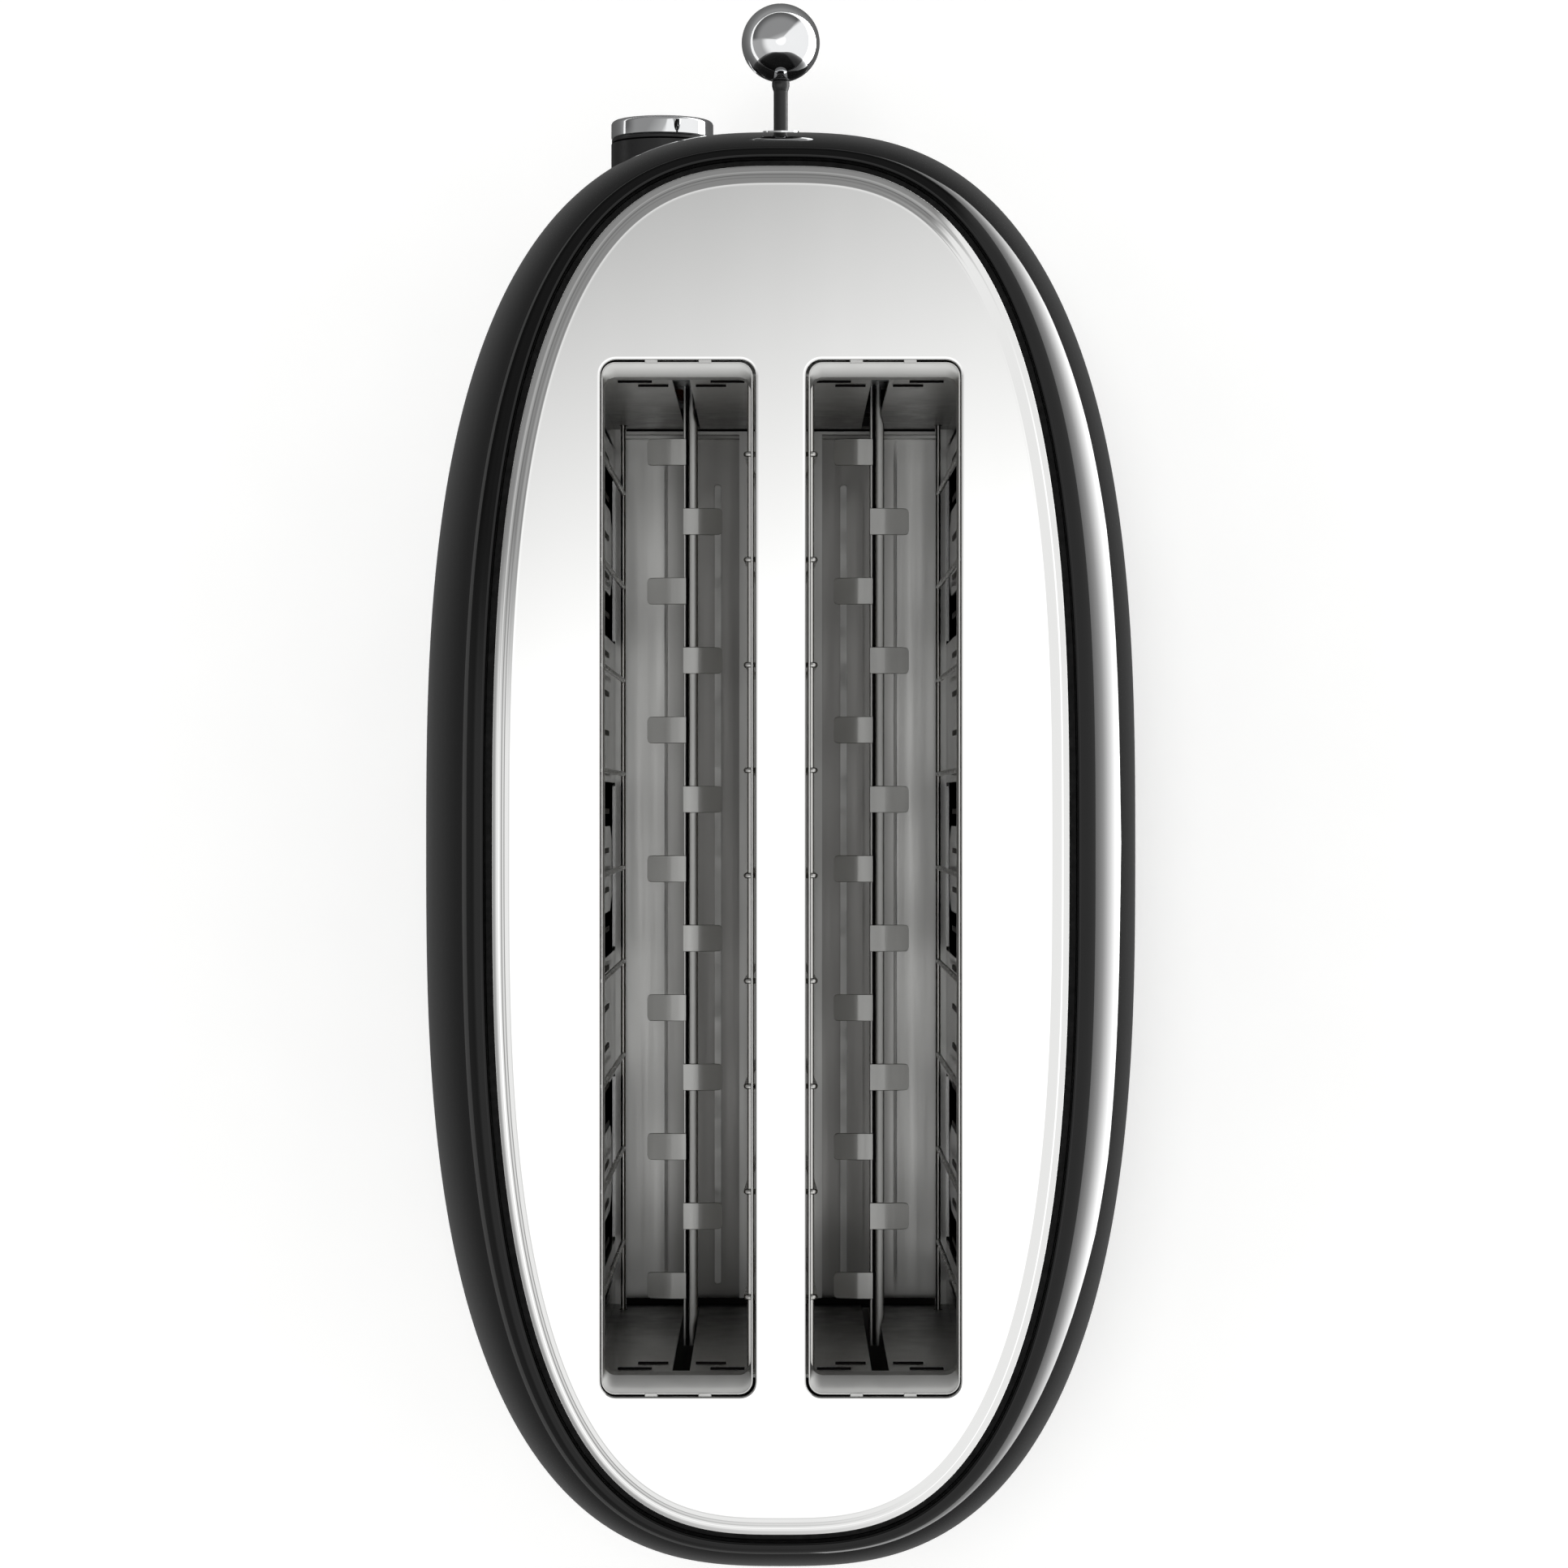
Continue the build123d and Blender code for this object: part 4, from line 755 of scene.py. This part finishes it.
guard = {
    "rails": {"Outer": (46.0, 47.4), "Inner": (6.3, 7.8)},  # X of the low and the high rail
    "wire": 0.72,
    "lowRail": 0.7,
    "highRail": 0.85,
    "count": 9,
    "pitch": 27.3,
    "low": 40.0,
    "high": 193.4,
    "length": 256.2,
    "pivotLength": 263.8,
    "headX": 1.1,  # the wire's head beside the top rail, towards the bread, and below it
    "headDrop": 1.0,
    "hookReach": 1.15,
    "hookBase": 0.5,
    "hookRise": 0.9,
}
middle = plate["chamberY"]
hookTurn = np.radians(np.linspace(20, 160, 9))
guardPlaces = (("left", -1, "Outer"), ("left", -1, "Inner"), ("right", 1, "Inner"), ("right", 1, "Outer"))
for word, side, where in guardPlaces:
    lowX, highX = guard["rails"][where]
    lowRail = [(side * lowX, middle + s * guard["pivotLength"] / 2, guard["low"]) for s in (-1, 1)]
    highRail = [(side * highX, middle + s * guard["length"] / 2, guard["high"]) for s in (-1, 1)]
    parts = [
        roundWire(np.linspace(*lowRail, 3), guard["lowRail"], 14),
        roundWire(np.linspace(*highRail, 3), guard["highRail"], 14),
    ]
    into = 1 if highX < plate["slotX"] else -1  # the side of the rail that faces the bread
    hookX = side * (highX + into * guard["hookReach"] * np.cos(hookTurn))
    hookZ = guard["high"] + guard["hookBase"] + guard["hookRise"] * np.sin(hookTurn)
    for index in range(guard["count"]):
        y = middle + (index - (guard["count"] - 1) / 2) * guard["pitch"]
        foot = (side * lowX, y, guard["low"])
        head = (side * (highX + into * guard["headX"]), y, guard["high"] - guard["headDrop"])
        hook = np.stack([hookX, np.full(len(hookX), y), hookZ], -1)
        parts.append(roundWire(np.concatenate([np.linspace(foot, head, 6), hook]), guard["wire"], 10))
    node = word + "_" + where.lower() + "_guard"
    makePiece(word + where + "Guard", parts, node, "bright_wire", [node])
print("guards made")

# outer heater cards: a bright reflector sheet on each, with three stepped cut-outs

card = {
    "x": 49.2,
    "thick": 0.8,
    "low": 25.8,
    "high": 188.0,
    "front": -98.2,
    "rear": 140.0,
    "corner": 5.0,
    "strips": ((-105.3, -99.8), (145.7, 152.5)),  # turned edges of the chamber's end plates beside the card
    "middles": (-66.5, 23.4, 109.0),
    "half": 24.6,  # half length of a cut-out
    "column": 12.5,  # width of its two tall ends
    "slope": 4.0,
    "slopeRise": 12.0,
    "bevel": 1.0,
    "cutLow": 28.0,
    "stepHigh": 57.0,
    "cutHigh": 111.0,
}


def cutOut(middle):
    # a cut-out in Y and Z: the points of its rear half, then the same mirrored
    half, inner, bevel = card["half"], card["half"] - card["column"], card["bevel"]
    low, high, step = card["cutLow"], card["cutHigh"], card["stepHigh"]
    points = [
        (half - bevel, low), (half, low + bevel), (half, high - bevel), (half - bevel, high),
        (inner + bevel, high), (inner, high - bevel), (inner, step + card["slopeRise"]),
        (inner - card["slope"], step),
    ]
    return [(middle + y, z) for y, z in points] + [(middle - y, z) for y, z in points[::-1]]


cardMiddle = ((card["front"] + card["rear"]) / 2, (card["low"] + card["high"]) / 2)
cardOutline = roundedRectangle(
    card["rear"] - card["front"], card["high"] - card["low"], card["corner"], 6, cardMiddle,
)
for word, side in (("left", -1), ("right", 1)):
    faceX = [side * card["x"] + way * card["thick"] / 2 for way in (-1, 1)]
    sheets = [filledSheet(cardOutline, [cutOut(y) for y in card["middles"]], *faceX, "x")]
    for start, end in card["strips"]:
        strip = [(start, card["low"]), (end, card["low"]), (end, card["high"]), (start, card["high"])]
        sheets.append(filledSheet(strip, [], *faceX, "x"))
    node = word + "_heater_card"
    makePiece(word + "HeaterCard", sheets, "housing", "heater_mica", [node], material=brightCard)
print("heater cards made")

# crumb tray: one folded sheet with two pressed ribs and two creases along the slots

tray = {
    "half": 50.0,
    "front": bodyY - 121.0,
    "low": 13.5,
    "high": 22.0,
    "sheet": 0.8,
    "bend": 0.8,
    "ribX": 21.6,
    "ribHalf": 3.1,
    "ribRise": 0.12,
    "ribFlank": 1.3,
    "ribLength": 226.0,
    "creaseX": 34.1,
    "creaseHalf": 0.2,
    "creaseRise": 0.12,
    "creaseFlank": 0.5,
    "creaseLength": 248.0,
    "rearOval": (89.6, 185.0, 2.78),  # half width, half length and exponent of the outline at its rear edge
    "frontWall": (0.9, 0.1),  # how far the front wall stands in from the sides and up from the floor
}
floorTop = tray["low"] + tray["sheet"]
foldX = tray["half"] - tray["sheet"] - tray["bend"]  # where the side walls start to bend up
# columns, closer together over the flanks of a rib and a crease
halfAcross = [np.linspace(18, 25, 29), np.linspace(25.5, 32.5, 6), np.linspace(33.2, 35.6, 13)]
halfAcross = np.concatenate([*halfAcross, np.linspace(36, foldX, 8)])
across = np.concatenate([-halfAcross[::-1], np.linspace(-17, 17, 12), halfAcross])
# rows, as shares of the way to the rear, closer together over the ends of the ribs
rowShare = np.concatenate([
    np.linspace(0, 0.08, 9), np.linspace(0.1, 0.82, 16), np.linspace(0.83, 0.93, 12), np.linspace(0.94, 1, 6),
])
a, b, n = tray["rearOval"]
bend = np.radians(np.linspace(0, 90, 6))[1:]
wallX = np.concatenate([foldX + tray["bend"] * np.sin(bend), [foldX + tray["bend"]]])
wallZ = np.concatenate([floorTop + tray["bend"] * (1 - np.cos(bend)), [tray["high"]]])
columnX = np.concatenate([-wallX[::-1], across, wallX])
rearY = bodyY + b * (1 - (np.abs(columnX) / a) ** n) ** (1 / n)
rowY = tray["front"] + rowShare[:, None] * (rearY - tray["front"])[None]


def smoothEdge(distance, width):
    # 1 inside, 0 outside, with a cosine flank of this width at the edge
    return 0.5 - 0.5 * np.cos(np.pi * np.clip(0.5 - distance / width, 0, 1))


fromSlots = np.abs(rowY - plate["chamberY"])
ribEnd = np.clip(fromSlots - (tray["ribLength"] / 2 - tray["ribHalf"]), 0, None)
ribAway = np.hypot(np.abs(columnX)[None] - tray["ribX"], ribEnd) - tray["ribHalf"]
creaseSide = np.abs(np.abs(columnX)[None] - tray["creaseX"]) - tray["creaseHalf"]
creaseAway = np.maximum(creaseSide, fromSlots - tray["creaseLength"] / 2)
heights = np.concatenate([wallZ[::-1], np.full(len(across), floorTop), wallZ])[None] + np.zeros_like(rowY)
heights += tray["ribRise"] * smoothEdge(ribAway, tray["ribFlank"])
heights += tray["creaseRise"] * smoothEdge(creaseAway, tray["creaseFlank"])
upper = np.stack([np.broadcast_to(columnX[None], rowY.shape), rowY, heights], -1)
lower = upper.copy()
lower[:, :, 2] = np.where(heights > tray["high"] - 0.01, heights, heights - tray["sheet"])
lower[:, :len(wallX), 0] -= tray["sheet"]
lower[:, -len(wallX):, 0] += tray["sheet"]
lower[:, :, 0] = np.clip(lower[:, :, 0], -tray["half"], tray["half"])
trayGrid = np.concatenate([upper, lower[:, ::-1]], 1)
trayParts = list(closedGrid(trayGrid))
perRow, wide = trayGrid.shape[1], upper.shape[1]
for base in (0, (len(rowShare) - 1) * perRow):
    # quads between the upper and the lower line close each end
    index = np.arange(wide - 1)
    upperEdge, lowerEdge = base + index, base + perRow - 1 - index
    trayParts.append(np.stack([upperEdge, upperEdge + 1, lowerEdge - 1, lowerEdge], -1))
inX, upZ = tray["frontWall"]
frontWall = bar(
    (-tray["half"] + inX, tray["front"], tray["low"] + upZ),
    (tray["half"] - inX, tray["front"] + tray["sheet"], tray["high"]), 0.2,
)
makePiece("crumbTray", [trayParts, frontWall], "crumb_drawer", "tray_steel", ["crumb_tray"], sharp=40)

# two lighter satin strips on the tray, slightly proud, under the edge of each rack: painted highlights

highlightStrip = {
    "place": (18.7, 29.0),
    "width": 1.9,
    "length": 238.0,
    "corner": 0.9,
    "proud": 0.3,
    "edge": 0.2,
}
highlightStripLow = floorTop + tray["ribRise"]
stripParts = []
for side in (-1, 1):
    x, y = highlightStrip["place"]
    outline = roundedRectangle(highlightStrip["width"], highlightStrip["length"], highlightStrip["corner"], 6, (side * x, y))
    stripParts.append(slab(outline, highlightStripLow, highlightStripLow + highlightStrip["proud"], highlightStrip["edge"]))
makePiece("trayHighlightStrips", stripParts, "crumb_drawer", "tray_steel", material=satinLiner)
print("crumb tray made")

# black bars of painted shade: at the vent slits in the chamber's end plates, in the gap along the foot of
# each plate, and on the floor behind each outer card

vents = {
    "x": 26.0,
    "upper": (12.1, 8.9, 185.0),  # distance from the middle of a slot, length, height
    "lower": (7.6, 8.0, 173.0),
    "slitHalf": 0.7,
    "proud": 0.5,
    "footShadeX": (7.6, 45.6),
    "footShadeLow": 25.4,
    "footShadeRise": 0.5,
    "footShadeDepths": (0.6, 1.8),  # front and rear
    "troughX": (49.75, 56.5),  # painted shade on the floor behind each outer card, seen through its cut-outs
    "troughInset": 1.0,
    "troughRise": 0.4,
}


def darkBar(xEnds, yEnds, low, high):
    # a bar with its edges barely broken, between ends given in either order
    (x1, x2), (y1, y2) = sorted(xEnds), sorted(yEnds)
    return bar((x1, y1, low), (x2, y2, high), 0.1)


footShadeLow = vents["footShadeLow"]
troughEnds = (card["front"] + vents["troughInset"], card["rear"] - vents["troughInset"])
shadeBarParts = []
for side in (-1, 1):
    troughX = [side * v for v in vents["troughX"]]
    shadeBarParts.append(darkBar(troughX, troughEnds, footShadeLow, footShadeLow + vents["troughRise"]))
for wallY, inward, footShadeDepth in zip((chamberFront, chamberRear), (1, -1), vents["footShadeDepths"]):
    for side in (-1, 1):
        for offset, length, z in (vents["upper"], vents["lower"]):
            for way in (-1, 1):
                x = side * vents["x"] + way * offset
                slitX, slitY = (x - length / 2, x + length / 2), (wallY, wallY + inward * vents["proud"])
                shadeBarParts.append(darkBar(slitX, slitY, z - vents["slitHalf"], z + vents["slitHalf"]))
        footShadeX, footShadeY = [side * v for v in vents["footShadeX"]], (wallY, wallY + inward * footShadeDepth)
        shadeBarParts.append(darkBar(footShadeX, footShadeY, footShadeLow, footShadeLow + vents["footShadeRise"]))
makePiece("paintedShadeBars", shadeBarParts, "housing", "black_plastic", material=paintedShadeSheet)
print("vents made")

# browning knob: a black barrel and a turned chrome cap with a pointer groove

knob = {
    "place": (33.2, bodyY - 197.0, 95.0),
    "radius": 14.3,
    "foot": 13.9,  # radius of barrel and cap on the side of the panel
    "barrelRadius": 14.15,
    "barrel": 1.1,
    "cap": 5.0,
    "edge": 1.2,
    "dish": ((12.4, 0.0), (12.2, 0.12), (12.0, 0.12), (6.0, 0.2), (0, 0.22)),  # radius and depth
    "spindle": 3.0,
    "spindleEnd": bodyY - 170.0,
    "markWidth": 1.2,
    "markLength": 8.2,
    "markDepth": 0.4,
    "markLow": 2.85,
}
knobX, knobY, knobZ = knob["place"]
outwards = (0, -1, 0)
spindle, spindleLength = knob["spindle"], knob["spindleEnd"] - knobY
barrel = [(0, -spindleLength), (spindle - 0.3, -spindleLength), (spindle, 0.3 - spindleLength), (spindle, 0)]
barrel += [(knob["foot"], 0), (knob["barrelRadius"], 0.12), (knob["barrelRadius"], knob["barrel"] - 0.25)]
barrel += [(13.8, knob["barrel"]), (0, knob["barrel"])]
makePiece(
    "knobBarrel", [turned(barrel, knob["place"], outwards, 96)],
    "browning_knob", "black_plastic", ["knob_barrel"],
)
capRing, capRise = knob["radius"] - knob["edge"], knob["cap"] - knob["edge"]
cap = [(0, 0), (knob["foot"], 0), (knob["radius"], 0.3)]
for turn in np.radians(np.linspace(0, 90, 9)):
    cap.append((capRing + knob["edge"] * math.cos(turn), capRise + knob["edge"] * math.sin(turn)))
cap += [(radius, knob["cap"] - depth) for radius, depth in knob["dish"]]
capY = knobY - knob["barrel"]
capPiece = makePiece(
    "knobCap", [turned(cap, (knobX, capY, knobZ), outwards, 96)],
    "browning_knob", "chrome_trim", ["knob_cap"],
)
markMiddle = (knobX, knobZ + knob["markLow"] + knob["markLength"] / 2)
markCorner = knob["markWidth"] / 2 - 0.01
markLoop = roundedRectangle(knob["markWidth"], knob["markLength"], markCorner, 5, markMiddle)
capFace = capY - knob["cap"]
cutAway(capPiece, [slab(markLoop, capFace - 1.0, capFace + knob["markDepth"], 0.0, "y")])
print("knob made")

# light and room

studio = {
    "floorColours": ("#F0F0EF", "#F4F4F3"),
    "roomLight": 0.62,  # even light from all round
    "sunStrength": 1.1,
    "sunSpread": 18.0,
    "sunLean": (4, 3),  # degrees about X and Y
    "floorGlow": 0.34,  # lifts the floor to white for the camera and in polished parts
    "cardLevels": (5.2, 3.6),  # white card beside the toaster, seen only in its polish
    "cardReach": (-184.0, -420.0),  # X in mm, for those two levels
    "darkLevels": (0.09, 0.3),
    "darkReach": (150.0, 700.0),
    "darkEdge": {  # mm from the shell's middle to the dark card's edge, by the angle from +X to +Y
        -180: 184, -150: 212, -140: 240, -130: 300, -120: 500, -105: 1500, -90: 2600, -60: 2600, -40: 1200,
        0: 700, 60: 700, 90: 800, 110: 640, 125: 480, 135: 330, 144: 232, 150: 212, 180: 184,
    },
    "lean": (0.36, 0.93),  # direction to the lever end, and a little to +X
    "skySteps": (0.02, 0.144, 0.35),  # leans at which the sky is high, low and at its front level
    "skyHigh": 1.8,  # overhead, where the plate mirrors it
    "skyLow": 0.62,  # towards the lever end, as the plate's grey end mirrors it
    "skyFront": 0.36,
    "skyRound": 1.25,
    "skySide": 0.5,
    "horizon": (0.05, 0.5, 0.4),  # rises between which the front sky brightens, and its share at the first
    "window": (0.38, 0.54),  # lean of the edge between the sky all round and the front sky
    "overhead": (0.955, 0.985),  # rise of that edge near the top
    "sideEdge": (-0.5, 0.6),  # X and rise between which the sky all round keeps to its side level
    "lowEdge": (0.45, 0.8),
}


def flatPanel(name, corners, material):
    mesh = bpy.data.meshes.new(name)
    mesh.from_pydata(corners, [], [tuple(range(len(corners)))])
    mesh.materials.append(material)
    panel = placed(name, mesh)
    return panel


def glowPanel(name, corners, measure, reach, levels):
    # a glowing card whose level changes with a measured place; it shows in polished parts only,
    # as a photographer's cards just out of view do
    material = bpy.data.materials.new(name)
    tree = emptyTree(material)
    level = ramped(tree, measure(tree, objectPlace(tree)), *[v * mm for v in reach], *levels)
    glow = addNode(tree, "ShaderNodeEmission", {"Strength": level})
    addNode(tree, "ShaderNodeOutputMaterial", {"Surface": glow.outputs[0]})
    panel = flatPanel(name, corners, material)
    for ray in ("camera", "diffuse", "shadow", "transmission", "volume_scatter"):
        setattr(panel, "visible_" + ray, False)


floorMaterial = bpy.data.materials.new("palePaperFloor")
tree = emptyTree(floorMaterial)
grain = addNode(tree, "ShaderNodeTexNoise", {"Scale": 30.0, "Vector": objectPlace(tree)})
paper = mixNode(tree, grain.outputs[0], *[linearColour(code) for code in studio["floorColours"]])
matte = addNode(tree, "ShaderNodeBsdfDiffuse", {"Color": paper})
ray = addNode(tree, "ShaderNodeLightPath").outputs
seen = mathNode(tree, "MAXIMUM", ray["Is Camera Ray"], ray["Is Glossy Ray"])
seen = mathNode(tree, "MAXIMUM", seen, ray["Is Transmission Ray"])
lift = mathNode(tree, "MULTIPLY", seen, studio["floorGlow"])
glow = addNode(tree, "ShaderNodeEmission", {"Strength": lift})
both = addNode(tree, "ShaderNodeAddShader", {0: matte.outputs[0], 1: glow.outputs[0]})
addNode(tree, "ShaderNodeOutputMaterial", {"Surface": both.outputs[0]})
flatPanel("floor", [(-6, -6, 0), (6, -6, 0), (6, 6, 0), (-6, 6, 0)], floorMaterial)


def fromOrigin(tree, place):
    return addNode(tree, "ShaderNodeVectorMath", {"operation": "LENGTH", 0: place}).outputs["Value"]


# dark card: it lies round the toaster, further out at the lever end
turns = np.linspace(-180, 180, 120, endpoint=False)
edgeReach = np.interp(turns, list(studio["darkEdge"]), list(studio["darkEdge"].values())) * mm
darkX = np.cos(np.radians(turns)) * edgeReach
darkY = np.sin(np.radians(turns)) * edgeReach + bodyY * mm
darkCorners = [(x, y, 0.0005) for x, y in zip(darkX, darkY)]
glowPanel("darkCard", darkCorners, fromOrigin, studio["darkReach"], studio["darkLevels"])
# white card: the floor beyond the dark one on the -X side
whiteCorners = [(x, y, 0.0003) for x, y in ((-3.0, -1.6), (-0.05, -1.6), (-0.05, 1.6), (-3.0, 1.6))]
glowPanel("whiteCard", whiteCorners, lambda *at: splitAxes(*at)[0], studio["cardReach"], studio["cardLevels"])

world = bpy.data.worlds.new("studio")
bpy.context.scene.world = world
tree = emptyTree(world)
direction = addNode(tree, "ShaderNodeTexCoord").outputs["Generated"]
dx, dy, dz = splitAxes(tree, direction)
# front sky: by the lean to the lever end it falls from high to low, then to its front level
leanX, leanFront = studio["lean"]
toFront = mathNode(tree, "MULTIPLY", dy, leanFront)
lean = mathNode(tree, "SUBTRACT", mathNode(tree, "MULTIPLY", dx, leanX), toFront)
leanHigh, leanLow, leanEnd = studio["skySteps"]
frontSky = ramped(tree, lean, leanHigh, leanLow, studio["skyHigh"], studio["skyLow"])
further = ramped(tree, lean, leanLow, leanEnd, 0.0, studio["skyFront"] - studio["skyLow"])
frontSky = mathNode(tree, "ADD", frontSky, further)
frontSky = mathNode(tree, "MULTIPLY", frontSky, ramped(tree, dz, *studio["horizon"], 1.0, True))
# sky all round: even, but lower on the +X side high up
side = ramped(tree, dx, *studio["sideEdge"], studio["skyRound"], studio["skySide"])
lowSky = ramped(tree, dz, *studio["lowEdge"], 1.0, 0.0, True)
around = mixNode(tree, lowSky, studio["skyRound"], side, "FLOAT")
# the front sky fills a window towards the lever end, and the zenith
flat = mathNode(tree, "SQRT", mathNode(tree, "SUBTRACT", 1.0001, mathNode(tree, "MULTIPLY", dz, dz)))
window = ramped(tree, mathNode(tree, "DIVIDE", lean, flat), *studio["window"], 0.0, 1.0, True)
overhead = ramped(tree, dz, *studio["overhead"], 0.0, 1.0, True)
polished = mixNode(tree, mathNode(tree, "MAXIMUM", window, overhead), around, frontSky, "FLOAT")
ray = addNode(tree, "ShaderNodeLightPath").outputs
mirrored = mathNode(tree, "MAXIMUM", ray["Is Glossy Ray"], ray["Is Transmission Ray"])
level = mixNode(tree, mirrored, studio["roomLight"], polished, "FLOAT")
level = mixNode(tree, ray["Is Camera Ray"], level, 1.0, "FLOAT")
back = addNode(tree, "ShaderNodeBackground", {"Strength": level})
addNode(tree, "ShaderNodeOutputWorld", {"Surface": back.outputs[0]})

sun = bpy.data.lights.new("overheadSoft", "SUN")
sun.energy = studio["sunStrength"]
sun.angle = math.radians(studio["sunSpread"])
sunObject = placed("overheadSoft", sun)
sunObject.rotation_euler = (*map(math.radians, studio["sunLean"]), 0)
sunObject.visible_glossy = False
print("light made")

# camera

view = {
    "lens": 107.33,
    "sensor": 36.0,
    "place": (0.0, 4.9, 1406.0),
    "shift": (0.0021, 0.0124),
}
camera = bpy.data.cameras.new("camera")
camera.lens = view["lens"]
camera.sensor_width = view["sensor"]
camera.shift_x, camera.shift_y = view["shift"]
camera.clip_end = 50.0
cameraObject = placed("camera", camera)
cameraObject.location = tuple(v * mm for v in view["place"])
cameraObject.rotation_euler = (0, 0, math.pi)  # looks straight down, with the lever end at the top
bpy.context.scene.camera = cameraObject
bpy.context.scene.view_settings.view_transform = "Standard"

print("scene ready")
